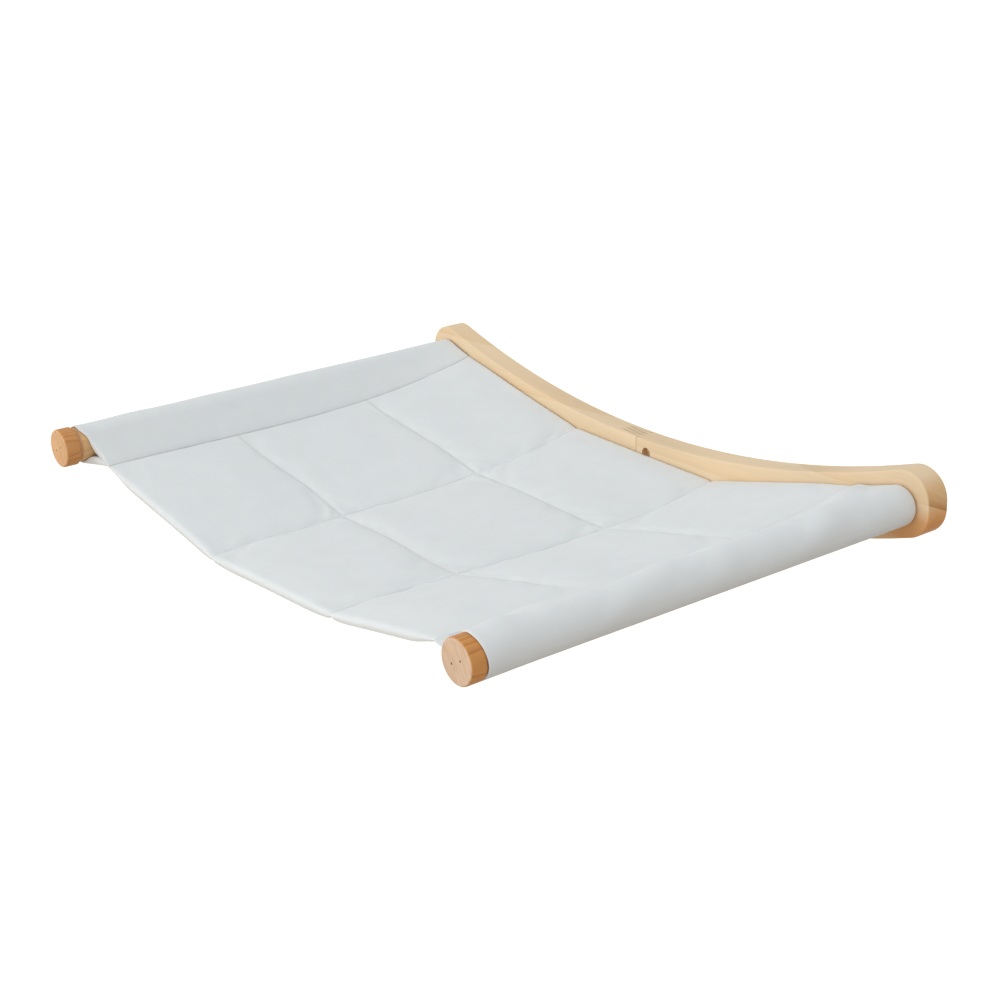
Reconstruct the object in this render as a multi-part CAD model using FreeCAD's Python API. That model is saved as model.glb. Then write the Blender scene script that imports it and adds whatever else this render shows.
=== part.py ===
"""Wall-mounted cat hammock: a curved pine bar, two capped rods and a quilted sling.

Millimetres, +Z up. The wall is the plane y = 0 and the hammock stands out from it along -Y.
The origin is on the wall, on the axis of the middle wall screw.
"""
import FreeCAD
import Part
import math
import os

# Overall size
OVERALL_WIDTH = 530.0
OVERALL_DEPTH = 370.0
ROD_RISE = 26.0

# Curved bar on the wall
BAR_HEIGHT = 45.0
BAR_THICKNESS = 18.0
BAR_SAG = 38.5
BAR_END_RADIUS = 20.0
BAR_END_MIN_RUN = 0.5
BAR_EDGE_RADIUS = 1.5
BAR_BACK_EDGE_RADIUS = 0.5

# Finger joint between the two boards of the bar
JOINT_X = -11.0
FINGER_LENGTH = 20.0
FINGER_COUNT = 3
FINGER_TIP = 0.8
JOINT_SHOULDER = 3.0

# Wall screw holes, one in the middle and one on each side
SCREW_SPACING = 260.0
SCREW_HOLE_DIAMETER = 5.0
SCREW_POCKET_DIAMETER = 8.5
SCREW_POCKET_DEPTH = 5.0

# Rods and end caps
ROD_DIAMETER = 25.0
ROD_END_CHAMFER = 1.0
ROD_NECK_CHAMFER = 2.5
CAP_DIAMETER = 28.0
CAP_THICKNESS = 11.5
CAP_EDGE_RADIUS = 1.5

# Brads that pin each cap to its rod
BRAD_DIAMETER = 1.4
BRAD_LENGTH = 24.0
BRAD_SPACING = 9.0
BRAD_TILT = 26.0
BRAD_RECESS = 1.0

# Bolt through the bar into each rod, with its washer and threaded insert
BOLT_DIAMETER = 8.0
BOLT_LENGTH = 40.0
BOLT_HEAD_DIAMETER = 13.0
BOLT_HEAD_HEIGHT = 5.0
BOLT_HEAD_RECESS = 0.9
KEY_WIDTH = 5.0
KEY_DEPTH = 3.0
BOLT_HOLE_CLEARANCE = 0.3
BOLT_TIP_CLEARANCE = 4.0
WASHER_DIAMETER = 17.0
WASHER_THICKNESS = 1.6
WASHER_CLEARANCE = 0.5
INSERT_DIAMETER = 12.0
INSERT_LENGTH = 20.0
THREAD_CLEARANCE = 0.05

# Sling outline: a seam beside each rod, a middle column between two quilting lines, and two rows across
LEFT_SEAM_OFFSET = 25.5
RIGHT_SEAM_OFFSET_BACK = 38.5
RIGHT_SEAM_OFFSET_FRONT = 51.5
MIDDLE_COLUMN_WIDTH = 149.3
MIDDLE_COLUMN_SHIFT = -4.0
FIRST_ROW_SHARE = 0.315
SECOND_ROW_SHARE = 0.674
FIRST_ROW_BEND_LEFT = 4.0
SECOND_ROW_BEND_LEFT = 8.0
SECOND_ROW_BEND_RIGHT = -5.0
SPANS_PER_ROW = 4
SLING_BACK_GAP = 0.5
SLING_FRONT_SETBACK = 15.5

# Sling sag: heights from the rods' axes at the back hem, on the two rows and at the front hem
LEFT_SEAM_BACK = 5.5
LEFT_SEAM_FIRST_ROW = -10.0
LEFT_SEAM_SECOND_ROW = -12.6
LEFT_SEAM_FRONT = -11.8
LEFT_QUILT_BACK = -25.6
LEFT_QUILT_FIRST_ROW = -38.9
LEFT_QUILT_SECOND_ROW = -45.0
LEFT_QUILT_FRONT = -44.4
RIGHT_QUILT_BACK = -30.1
RIGHT_QUILT_FIRST_ROW = -38.8
RIGHT_QUILT_SECOND_ROW = -39.1
RIGHT_QUILT_FRONT = -37.5
RIGHT_SEAM_BACK = 2.5
RIGHT_SEAM_FIRST_ROW = -9.6
RIGHT_SEAM_SECOND_ROW = -12.5
RIGHT_SEAM_FRONT = -12.4

# Quilted puffs between the sewn channels
CHANNEL_THICKNESS = 3.2
PUFF_TOP = 4.5
PUFF_BOTTOM = 5.0
BACK_EDGE_PUFF = 0.8
FRONT_EDGE_PUFF = 0.3
PUFF_POWER = 3.0
CLOTH_THICKNESS = 0.7
LAYER_GAP = 0.15
HEM_THICKNESS = 0.9

# Sleeves round the rods
SLEEVE_CLEARANCE = 0.3
SLEEVE_WALL = 1.3
SEAM_WIDTH = 3.0
LEFT_SLEEVE_GAP = 6.0
RIGHT_SLEEVE_GAP = 1.0

# Places that follow from the sizes
ROD_X = OVERALL_WIDTH / 2 - BAR_HEIGHT / 2
ROD_BACK_Y = -BAR_THICKNESS
ROD_FRONT_Y = -(OVERALL_DEPTH - CAP_THICKNESS)
BAR_RADIUS = (ROD_X**2 + BAR_SAG**2) / (2 * BAR_SAG)
BAR_CENTRE_Z = ROD_RISE - BAR_SAG + BAR_RADIUS
BOLT_SEAT_Y = -(BOLT_HEAD_RECESS + BOLT_HEAD_HEIGHT)
POCKET_FLOOR_Y = BOLT_SEAT_Y - WASHER_THICKNESS
BOLT_TIP_Y = BOLT_SEAT_Y - BOLT_LENGTH
HEM_BACK_Y = ROD_BACK_Y - SLING_BACK_GAP
HEM_FRONT_Y = ROD_FRONT_Y + SLING_FRONT_SETBACK
PAD_BACK_Y = HEM_BACK_Y - HEM_THICKNESS
PAD_FRONT_Y = HEM_FRONT_Y + HEM_THICKNESS
SLEEVE_INNER_RADIUS = ROD_DIAMETER / 2 + SLEEVE_CLEARANCE
SLEEVE_OUTER_RADIUS = SLEEVE_INNER_RADIUS + SLEEVE_WALL

# The sling's four long lines from left to right: x at the back and at the front, and heights along them
LEFT_SEAM_X = LEFT_SEAM_OFFSET - ROD_X
LEFT_QUILT_X = MIDDLE_COLUMN_SHIFT - MIDDLE_COLUMN_WIDTH / 2
RIGHT_QUILT_X = MIDDLE_COLUMN_SHIFT + MIDDLE_COLUMN_WIDTH / 2
LINE_BACK_X = (LEFT_SEAM_X, LEFT_QUILT_X, RIGHT_QUILT_X, ROD_X - RIGHT_SEAM_OFFSET_BACK)
LINE_FRONT_X = (LEFT_SEAM_X, LEFT_QUILT_X, RIGHT_QUILT_X, ROD_X - RIGHT_SEAM_OFFSET_FRONT)
LINE_LEVELS = (
    (LEFT_SEAM_BACK, LEFT_SEAM_FIRST_ROW, LEFT_SEAM_SECOND_ROW, LEFT_SEAM_FRONT),
    (LEFT_QUILT_BACK, LEFT_QUILT_FIRST_ROW, LEFT_QUILT_SECOND_ROW, LEFT_QUILT_FRONT),
    (RIGHT_QUILT_BACK, RIGHT_QUILT_FIRST_ROW, RIGHT_QUILT_SECOND_ROW, RIGHT_QUILT_FRONT),
    (RIGHT_SEAM_BACK, RIGHT_SEAM_FIRST_ROW, RIGHT_SEAM_SECOND_ROW, RIGHT_SEAM_FRONT),
)
ROW_BENDS = (
    (0.0, FIRST_ROW_BEND_LEFT, 0.0, 0.0),
    (0.0, SECOND_ROW_BEND_LEFT, SECOND_ROW_BEND_RIGHT, 0.0),
)
CROSS_SHARES = (0.0, FIRST_ROW_SHARE, SECOND_ROW_SHARE, 1.0)
ROW_COUNT = len(CROSS_SHARES) - 1

TOWARDS_FRONT = FreeCAD.Vector(0, -1, 0)


def rod_at(diameter, back_y, front_y, x, z):
    """Round bar along Y between two stations."""
    return Part.makeCylinder(diameter / 2, back_y - front_y, FreeCAD.Vector(x, back_y, z), TOWARDS_FRONT)


def arc(a, b, c):
    """Arc from a to c through b, or a straight edge where the three are in line."""
    if (b - a).cross(c - a).Length < 1e-3 * (c - a).Length:
        return Part.LineSegment(a, c).toShape()
    return Part.Arc(a, b, c).toShape()


def line(a, b):
    """Straight edge from a to b."""
    return Part.LineSegment(a, b).toShape()


def bar_end(side):
    """Edges round one end of the bar, from its lower arc to its upper one: two corners and an upright flat."""
    half = BAR_HEIGHT / 2
    radius = min(BAR_END_RADIUS, half - BAR_END_MIN_RUN)
    slope = math.asin(ROD_X / BAR_RADIUS)
    along = FreeCAD.Vector(side * math.cos(slope), 0, math.sin(slope))
    across = FreeCAD.Vector(side * math.sin(slope), 0, -math.cos(slope))
    middle = FreeCAD.Vector(side * ROD_X, 0, ROD_RISE)
    outwards = FreeCAD.Vector(side, 0, 0)

    def corner(way):
        """Start, middle and end of the rounding beside the bar's lower (1) or upper (-1) edge."""
        edge = middle + across * (way * half)
        inset = side * (OVERALL_WIDTH / 2 - radius)
        run = (inset - (edge - across * (way * radius)).x) / along.x
        centre = edge - across * (way * radius) + along * run
        bisector = across * way + outwards
        return edge, [
            centre + across * (way * radius),
            centre + bisector * (radius / bisector.Length),
            centre + outwards * radius,
        ]

    low_edge, low = corner(1)
    high_edge, high = corner(-1)
    return [
        line(low_edge, low[0]),
        arc(low[0], low[1], low[2]),
        line(low[2], high[2]),
        arc(high[2], high[1], high[0]),
        line(high[0], high_edge),
    ]


def bar_blank():
    """Arched band of even height with rounded ends, its edges eased, those on the wall only a little."""
    half = BAR_HEIGHT / 2
    right = bar_end(1)
    left = bar_end(-1)
    low_r, high_r = right[0].Vertexes[0].Point, right[-1].Vertexes[-1].Point
    low_l, high_l = left[0].Vertexes[0].Point, left[-1].Vertexes[-1].Point
    low_mid = FreeCAD.Vector(0, 0, BAR_CENTRE_Z - BAR_RADIUS - half)
    high_mid = FreeCAD.Vector(0, 0, BAR_CENTRE_Z - BAR_RADIUS + half)
    rim = [arc(low_l, low_mid, low_r)] + right + [arc(high_r, high_mid, high_l)] + left[::-1]
    band = Part.Face(Part.Wire(rim)).extrude(TOWARDS_FRONT * BAR_THICKNESS)
    back_rim = [e for e in band.Edges if e.BoundBox.YMin > -1e-6]
    eased = band.makeFillet(BAR_BACK_EDGE_RADIUS, back_rim)
    front_rim = [e for e in eased.Edges if e.BoundBox.YMax < 1e-6 - BAR_THICKNESS]
    return eased.makeFillet(BAR_EDGE_RADIUS, front_rim)


def left_of_joint():
    """Prism that holds everything left of the finger joint, with straight shoulders and blunt fingers between."""
    pitch = (BAR_THICKNESS - 2 * JOINT_SHOULDER) / FINGER_COUNT
    tip_x = JOINT_X - FINGER_LENGTH
    corners = [(-OVERALL_WIDTH, 0.0), (JOINT_X, 0.0)]
    for i in range(FINGER_COUNT):
        middle = -JOINT_SHOULDER - (i + 0.5) * pitch
        corners.append((JOINT_X, middle + (pitch - FINGER_TIP) / 2))
        corners.append((tip_x, middle + FINGER_TIP / 2))
        corners.append((tip_x, middle - FINGER_TIP / 2))
        corners.append((JOINT_X, middle - (pitch - FINGER_TIP) / 2))
    corners += [(JOINT_X, -BAR_THICKNESS), (-OVERALL_WIDTH, -BAR_THICKNESS)]
    low = BAR_CENTRE_Z - BAR_RADIUS - BAR_HEIGHT
    points = [FreeCAD.Vector(x, y, low) for x, y in corners]
    face = Part.Face(Part.makePolygon(points + points[:1]))
    return face.extrude(FreeCAD.Vector(0, 0, BAR_SAG + 2 * BAR_HEIGHT))


def bar_holes():
    """Wall screw holes with their head pockets, and the bolt holes with their pockets at the back."""
    cuts = []
    for x in (-SCREW_SPACING / 2, 0.0, SCREW_SPACING / 2):
        cuts.append(rod_at(SCREW_HOLE_DIAMETER, 0, -BAR_THICKNESS, x, 0))
        cuts.append(
            rod_at(SCREW_POCKET_DIAMETER, SCREW_POCKET_DEPTH - BAR_THICKNESS, -BAR_THICKNESS, x, 0)
        )
    for x in (-ROD_X, ROD_X):
        cuts.append(rod_at(BOLT_DIAMETER + 2 * BOLT_HOLE_CLEARANCE, 0, -BAR_THICKNESS, x, ROD_RISE))
        cuts.append(rod_at(WASHER_DIAMETER + 2 * WASHER_CLEARANCE, 0, POCKET_FLOOR_Y, x, ROD_RISE))
    return cuts


def brad_pins(x, front_y):
    """Two pins on a slanting line across the cap, from the given front to the brads' tips."""
    tip_y = BRAD_RECESS + BRAD_LENGTH - OVERALL_DEPTH
    tilt = math.radians(BRAD_TILT)
    return [
        rod_at(BRAD_DIAMETER, tip_y, front_y, x + reach * math.cos(tilt), ROD_RISE + reach * math.sin(tilt))
        for reach in (-BRAD_SPACING / 2, BRAD_SPACING / 2)
    ]


def cap_brads(x):
    """Two brads, set a little below the cap's front face."""
    return brad_pins(x, BRAD_RECESS - OVERALL_DEPTH)


def brad_holes(x):
    """The holes that the two brads leave, open at the cap's front face."""
    return brad_pins(x, -OVERALL_DEPTH)


def rod(x):
    """Wooden rod with a neck behind its cap, its insert's socket, the bolt's bore and the brads' holes."""
    body = rod_at(ROD_DIAMETER, ROD_BACK_Y, ROD_FRONT_Y, x, ROD_RISE)
    for end_y, chamfer in ((ROD_BACK_Y, ROD_END_CHAMFER), (ROD_FRONT_Y, ROD_NECK_CHAMFER)):
        rings = [e for e in body.Edges if e.BoundBox.YLength < 1e-6]
        rims = [e for e in rings if abs(e.BoundBox.YMin - end_y) < 1e-3]
        body = body.makeChamfer(chamfer, rims)
    socket = rod_at(INSERT_DIAMETER, ROD_BACK_Y, ROD_BACK_Y - INSERT_LENGTH, x, ROD_RISE)
    bore = rod_at(
        BOLT_DIAMETER + 2 * BOLT_HOLE_CLEARANCE, ROD_BACK_Y, BOLT_TIP_Y - BOLT_TIP_CLEARANCE, x, ROD_RISE
    )
    return body.cut([socket, bore] + brad_holes(x))


def end_cap(x):
    """Wooden disc on the rod's front end, with eased edges and the brads' holes."""
    disc = rod_at(CAP_DIAMETER, ROD_FRONT_Y, -OVERALL_DEPTH, x, ROD_RISE)
    rims = [e for e in disc.Edges if e.BoundBox.YLength < 1e-6]
    return disc.makeFillet(CAP_EDGE_RADIUS, rims).cut(brad_holes(x))


def insert(x):
    """Threaded insert, flush with the rod's back end."""
    sleeve = rod_at(INSERT_DIAMETER, ROD_BACK_Y, ROD_BACK_Y - INSERT_LENGTH, x, ROD_RISE)
    thread = rod_at(
        BOLT_DIAMETER + 2 * THREAD_CLEARANCE, ROD_BACK_Y, ROD_BACK_Y - INSERT_LENGTH, x, ROD_RISE
    )
    return sleeve.cut(thread)


def bolt(x):
    """Low-head bolt from the back of the bar, with a hexagon socket."""
    head = rod_at(BOLT_HEAD_DIAMETER, -BOLT_HEAD_RECESS, BOLT_SEAT_Y, x, ROD_RISE)
    shank = rod_at(BOLT_DIAMETER, BOLT_SEAT_Y, BOLT_TIP_Y, x, ROD_RISE)
    reach = KEY_WIDTH / math.sqrt(3)
    corners = [
        FreeCAD.Vector(
            x + reach * math.cos(math.radians(60 * i)),
            -BOLT_HEAD_RECESS,
            ROD_RISE + reach * math.sin(math.radians(60 * i)),
        )
        for i in range(6)
    ]
    key = Part.Face(Part.makePolygon(corners + corners[:1])).extrude(TOWARDS_FRONT * KEY_DEPTH)
    return head.fuse(shank).removeSplitter().cut(key)


def washer(x):
    """Flat washer on the floor of the bolt's pocket."""
    disc = rod_at(WASHER_DIAMETER, BOLT_SEAT_Y, POCKET_FLOOR_Y, x, ROD_RISE)
    hole = rod_at(BOLT_DIAMETER + 2 * BOLT_HOLE_CLEARANCE, BOLT_SEAT_Y, POCKET_FLOOR_Y, x, ROD_RISE)
    return disc.cut(hole)


def depth_share(y):
    """Share of the pad's depth at y: 0 at its back end and 1 at its front end."""
    return min(1.0, max(0.0, (PAD_BACK_Y - y) / (PAD_BACK_Y - PAD_FRONT_Y)))


def line_x(k, y):
    """Where long line k runs: straight from its back end to its front end."""
    return LINE_BACK_X[k] + (LINE_FRONT_X[k] - LINE_BACK_X[k]) * depth_share(y)


def line_z(k, y):
    """How high long line k hangs: on the cubic through its four heights."""
    t = depth_share(y)
    height = 0.0
    for here, level in zip(CROSS_SHARES, LINE_LEVELS[k]):
        weight = math.prod((t - other) / (here - other) for other in CROSS_SHARES if other != here)
        height += weight * level
    return ROD_RISE + height


def line_y(k, row, u):
    """Where share u of a row is on long line k."""
    shifts = (0.0, ROW_BENDS[0][k], ROW_BENDS[1][k], 0.0)
    depth = PAD_BACK_Y - PAD_FRONT_Y
    start, stop = (PAD_BACK_Y - depth * CROSS_SHARES[i] + shifts[i] for i in (row, row + 1))
    return start + (stop - start) * u


def row_puff(row, u):
    """Fullness of a puff at share u of its row: none on a channel, some on a hem, all in the middle."""
    fullness = 1 - abs(2 * u - 1) ** PUFF_POWER
    if row == 0 and u < 0.5:
        return BACK_EDGE_PUFF + (1 - BACK_EDGE_PUFF) * fullness
    if row == ROW_COUNT - 1 and u > 0.5:
        return FRONT_EDGE_PUFF + (1 - FRONT_EDGE_PUFF) * fullness
    return fullness


def pad_stations():
    """Stations along the sling as (row, share of the row), with each channel once."""
    stations = [(0, 0.0)]
    for row in range(ROW_COUNT):
        for i in range(1, SPANS_PER_ROW + 1):
            stations.append((row, 0.5 - 0.5 * math.cos(math.pi * i / SPANS_PER_ROW)))
    return stations


def puff_chain(row, u, side, inset):
    """Three arcs from the left seam to the right one, over the puffs (side 1) or under them (side -1)."""
    puff = (PUFF_TOP if side > 0 else PUFF_BOTTOM) * row_puff(row, u)
    offset = side * (CHANNEL_THICKNESS / 2 - inset)
    points = []
    for k in range(len(LINE_BACK_X)):
        y = line_y(k, row, u)
        points.append(FreeCAD.Vector(line_x(k, y), y, line_z(k, y) + offset))
    rise = FreeCAD.Vector(0, 0, side * puff)
    return [(a, (a + b) / 2 + rise, b) for a, b in zip(points[:-1], points[1:])]


def layer_section(row, u, upper, lower):
    """Closed section of one layer between two (side, inset) surfaces."""
    top = puff_chain(row, u, *upper)
    bottom = puff_chain(row, u, *lower)
    edges = [arc(*e) for e in top]
    edges.append(line(top[-1][2], bottom[-1][2]))
    edges += [arc(c, b, a) for a, b, c in reversed(bottom)]
    edges.append(line(bottom[0][0], top[0][0]))
    return Part.Wire(edges)


def sling_layer(upper, lower):
    """One quilted layer over the whole sling."""
    sections = [layer_section(row, u, upper, lower) for row, u in pad_stations()]
    return Part.makeLoft(sections, True, True)


def hem(row, u, reach):
    """Edge band that closes the layers at the back or the front."""
    outline = layer_section(row, u, (1, 0.0), (-1, 0.0))
    return Part.Face(outline).extrude(FreeCAD.Vector(0, reach, 0))


def loop_section(y, side, radius, top, bottom):
    """Teardrop outline round a rod, drawn to the points top and bottom beside the seam."""
    points = []
    for (px, pz), turn in ((top, -1), (bottom, 1)):
        reach = math.hypot(px - ROD_X, pz - ROD_RISE)
        heading = math.atan2(pz - ROD_RISE, px - ROD_X) % (2 * math.pi)
        points.append(heading + turn * math.acos(radius / reach))
    start, stop = points[0], points[1] - 2 * math.pi

    def at(share):
        angle = start + (stop - start) * share
        return FreeCAD.Vector(
            side * (ROD_X + radius * math.cos(angle)), y, ROD_RISE + radius * math.sin(angle)
        )

    upper = FreeCAD.Vector(side * top[0], y, top[1])
    lower = FreeCAD.Vector(side * bottom[0], y, bottom[1])
    edges = [line(upper, at(0)), arc(at(0), at(0.25), at(0.5)), arc(at(0.5), at(0.75), at(1)), line(at(1), lower)]
    if (upper - lower).Length > 1e-6:
        edges.append(line(lower, upper))
    return Part.Wire(edges)


def sleeve(side, front_gap):
    """Cloth loop round a rod, sewn to the pad at the seam, its front edge slanting back to the pad."""
    front_y = ROD_FRONT_Y + front_gap
    k = 0 if side < 0 else len(LINE_BACK_X) - 1
    half = CHANNEL_THICKNESS / 2
    stations = [HEM_BACK_Y] + [line_y(k, row, u) for row, u in pad_stations()] + [HEM_FRONT_Y, front_y]
    outer = []
    inner = []
    for y in stations:
        seam_x = abs(line_x(k, y))
        seam_z = line_z(k, y)
        outer.append(loop_section(y, side, SLEEVE_OUTER_RADIUS, (seam_x, seam_z + half), (seam_x, seam_z - half)))
        apex = (seam_x + SEAM_WIDTH, seam_z)
        inner.append(loop_section(y, side, SLEEVE_INNER_RADIUS, apex, apex))
    body = Part.makeLoft(outer, True, True).cut(Part.makeLoft(inner, True, True))
    front_x = abs(line_x(k, HEM_FRONT_Y))
    corners = [
        (front_x, HEM_FRONT_Y),
        (ROD_X, front_y),
        (ROD_X, front_y - OVERALL_DEPTH),
        (front_x, front_y - OVERALL_DEPTH),
    ]
    points = [FreeCAD.Vector(side * x, y, ROD_RISE - OVERALL_DEPTH / 2) for x, y in corners]
    slant = Part.Face(Part.makePolygon(points + points[:1])).extrude(FreeCAD.Vector(0, 0, OVERALL_DEPTH))
    return body.cut(slant)


def build():
    """All pieces by node name."""
    nodes = {}
    bar = bar_blank().cut(bar_holes())
    left = left_of_joint()
    nodes["bracket_left_board"] = bar.common(left)
    nodes["bracket_right_board"] = bar.cut(left)
    for name, side in (("left", -1), ("right", 1)):
        x = side * ROD_X
        nodes[f"{name}_bolt"] = bolt(x)
        nodes[f"{name}_bolt_washer"] = washer(x)
        nodes[f"{name}_rod_insert"] = insert(x)
        nodes[f"{name}_rod"] = rod(x)
        nodes[f"{name}_end_cap"] = end_cap(x)
        nodes[f"{name}_cap_brads"] = Part.makeCompound(cap_brads(x))
    skin = CLOTH_THICKNESS
    fill = CLOTH_THICKNESS + LAYER_GAP
    nodes["sling_top_cloth"] = sling_layer((1, 0.0), (1, skin))
    nodes["sling_batting"] = sling_layer((1, fill), (-1, fill))
    nodes["sling_bottom_cloth"] = sling_layer((-1, skin), (-1, 0.0))
    nodes["sling_back_hem"] = hem(0, 0.0, HEM_THICKNESS)
    nodes["sling_front_hem"] = hem(ROW_COUNT - 1, 1.0, -HEM_THICKNESS)
    nodes["left_sleeve"] = sleeve(-1, LEFT_SLEEVE_GAP)
    nodes["right_sleeve"] = sleeve(1, RIGHT_SLEEVE_GAP)
    return nodes


def main():
    """Write one STEP file per node and print each node's solids and volume."""
    os.makedirs("parts", exist_ok=True)
    for name, shape in build().items():
        shape.exportStep(f"parts/{name}.step")
        print(f"{name}: {len(shape.Solids)} solids, valid {shape.isValid()}, {shape.Volume:.1f} mm3")


main()
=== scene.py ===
"""A wall-mounted cat hammock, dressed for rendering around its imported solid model.

A sagging pine bar carries two round rods, and a white quilted sling hangs between the rods.
The sling, its two rod sleeves and its thread are surfaces worked out here as functions of two
parameters. The timber and the metal keep the solid model's own shapes and get their finishes here.
All lengths are metres: X runs along the bar, +Y goes into the wall and +Z is up.
"""

import logging
import math
from dataclasses import dataclass, field
from enum import Enum

import bpy
import numpy as np
from mathutils import Matrix, Vector

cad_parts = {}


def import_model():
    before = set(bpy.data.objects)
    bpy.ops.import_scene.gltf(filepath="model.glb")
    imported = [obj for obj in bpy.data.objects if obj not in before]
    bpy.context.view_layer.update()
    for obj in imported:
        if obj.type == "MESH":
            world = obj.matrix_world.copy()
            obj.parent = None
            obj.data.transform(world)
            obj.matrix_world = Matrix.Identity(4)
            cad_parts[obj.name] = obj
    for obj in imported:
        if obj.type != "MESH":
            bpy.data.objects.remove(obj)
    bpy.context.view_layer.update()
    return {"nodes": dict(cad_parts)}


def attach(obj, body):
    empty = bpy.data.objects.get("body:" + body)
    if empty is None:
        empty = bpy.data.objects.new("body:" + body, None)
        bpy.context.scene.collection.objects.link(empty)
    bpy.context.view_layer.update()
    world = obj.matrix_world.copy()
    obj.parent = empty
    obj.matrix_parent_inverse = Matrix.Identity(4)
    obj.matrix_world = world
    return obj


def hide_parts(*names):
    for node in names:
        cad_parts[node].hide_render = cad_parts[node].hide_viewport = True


LOG = logging.getLogger("cat_hammock")
Array = np.ndarray
Colour = tuple[float, float, float]
Triple = tuple[float, float, float]
Numbers = tuple[float, ...]
Socket = bpy.types.NodeSocket
Tree = bpy.types.NodeTree
Piece = bpy.types.Object
MM = 0.001
TURN = 2.0 * math.pi

# How far from a sewn line its shade reaches, in millimetres
CREASE_REACH = 1.6

# Stretch of the timber's noises across and along the grain
SLOW_STRETCH = (9.0, 9.0, 3.2)
FIBRE_STRETCH = (1500.0, 1500.0, 26.0)
TONE_STRETCH = (40.0, 40.0, 7.0)
FLECK_SIZE = (1.0 / 420.0, 1.0 / 90.0, 1.0 / 12.0)
FLECK_SLANT = (0.0, 0.0, -0.5)
LATE_WOOD_POWER = 2.2

# Stretch of the cloth's uneven yarns, and the share of the weave that they and the crossings have
SLUB_ACROSS = (60.0, 1400.0, 1.0)
SLUB_ALONG = (1400.0, 60.0, 1.0)
YARN_SHARE = 0.4
CRUMPLE_SCALE = 55.0


def mm(*lengths: float) -> Numbers:
    """Numbers given in millimetres, in metres."""
    return tuple(length * MM for length in lengths)


class Side(Enum):
    """The two ends of the hammock, with the sign of X on that end."""

    LEFT = -1
    RIGHT = 1

    @property
    def label(self) -> str:
        """The end's name as the pieces carry it."""
        return self.name.lower()


class Face(Enum):
    """The two faces of the quilted pad, with the direction that they bulge in."""

    TOP = 1
    BOTTOM = -1


class GrainAxis(Enum):
    """The direction of a timber's grain, as the turn that brings it onto Z."""

    ALONG_X = (0.0, -math.pi / 2, 0.0)
    ALONG_Y = (math.pi / 2, 0.0, 0.0)


def smooth_step(value: Array, low: float, high: float) -> Array:
    """Cubic ramp 3t^2 - 2t^3, with t running from 0 at low to 1 at high."""
    t = np.clip((value - low) / (high - low), 0.0, 1.0)
    return t * t * (3.0 - 2.0 * t)


def cell_of(share: Array) -> Array:
    """Number, from 0 to 2, of the column or row that a share from 0 to 3 lies in."""
    return np.clip(np.floor(share), 0, 2).astype(int)


def picked(stack: Array, index: Array) -> Array:
    """At each place, the layer of a stack that the index names there."""
    return np.take_along_axis(stack, index[None], 0)[0]


def run_along(line: Array) -> Array:
    """Distance of each point of a line from its first point, along the line."""
    return np.concatenate([[0.0], np.cumsum(np.linalg.norm(np.diff(line, axis=0), axis=1))])


def both_faces(grid: Array) -> Array:
    """A grid's values for the top sheet, then for the bottom sheet without the edge that they share."""
    return np.concatenate([grid.ravel(), grid[1:-1, 1:-1].ravel()])


def ripple(u: Array, v: Array, waves: int, length: Numbers, seed: int,
           lean: Numbers = (0.0, math.pi)) -> Array:
    """Sum of sine waves of random direction, length and phase, about -1 to 1.

    Each wave is sin(2 pi (u cos a + v sin a) / length + phase), and the sum is divided by the
    square root of the number of waves.

    Args:
        u: First coordinate, in metres.
        v: Second coordinate, in metres.
        waves: How many waves are added.
        length: Shortest and longest wave, in metres.
        seed: Seed of the random draws.
        lean: Lowest and highest angle a of the waves.

    Returns:
        One value per point.
    """
    draw = np.random.default_rng(seed)
    angle = draw.uniform(lean[0], lean[1], waves)
    wave = draw.uniform(length[0], length[1], waves)
    phase = draw.uniform(0.0, TURN, waves)
    across = u[..., None] * np.cos(angle) + v[..., None] * np.sin(angle)
    return np.sin(TURN * across / wave + phase).sum(-1) / math.sqrt(waves)


def quads_of(index: Array) -> Array:
    """Quads (i, j), (i, j+1), (i+1, j+1), (i+1, j) that join the points of a grid of point numbers."""
    corners = [index[:-1, :-1], index[:-1, 1:], index[1:, 1:], index[1:, :-1]]
    return np.stack(corners, axis=-1).reshape(-1, 4)


def surface_object(name: str, points: Array, quads: Array, uv: Array | None = None) -> Piece:
    """A smooth-shaded mesh object at the origin.

    Args:
        name: Name of the piece.
        points: Point coordinates, one row each.
        quads: Four point numbers per face.
        uv: Two coordinates per point for the piece's own map, in metres.

    Returns:
        The new object, linked to the scene.
    """
    mesh = bpy.data.meshes.new(name)
    mesh.from_pydata(points.tolist(), [], quads.tolist())
    mesh.polygons.foreach_set("use_smooth", np.ones(len(quads), bool))
    if uv is not None:
        layer = mesh.uv_layers.new(name="cloth_map")
        corners = np.zeros(len(mesh.loops), np.int32)
        mesh.loops.foreach_get("vertex_index", corners)
        layer.data.foreach_set("uv", uv[corners].astype(np.float32).ravel())
    mesh.update()
    piece = bpy.data.objects.new(name, mesh)
    bpy.context.scene.collection.objects.link(piece)
    return piece


def store_line_shade(piece: Piece, distance: Array) -> None:
    """Stores each point's distance from a line of painted shade, in millimetres, for the cloth's finish."""
    store = piece.data.attributes.new("line_shade_distance", "FLOAT", "POINT")
    store.data.foreach_set("value", distance.astype(np.float32).ravel())


def dress(piece: Piece, material: bpy.types.Material) -> None:
    """Gives a piece one material in place of any that it has."""
    piece.data.materials.clear()
    piece.data.materials.append(material)


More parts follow.
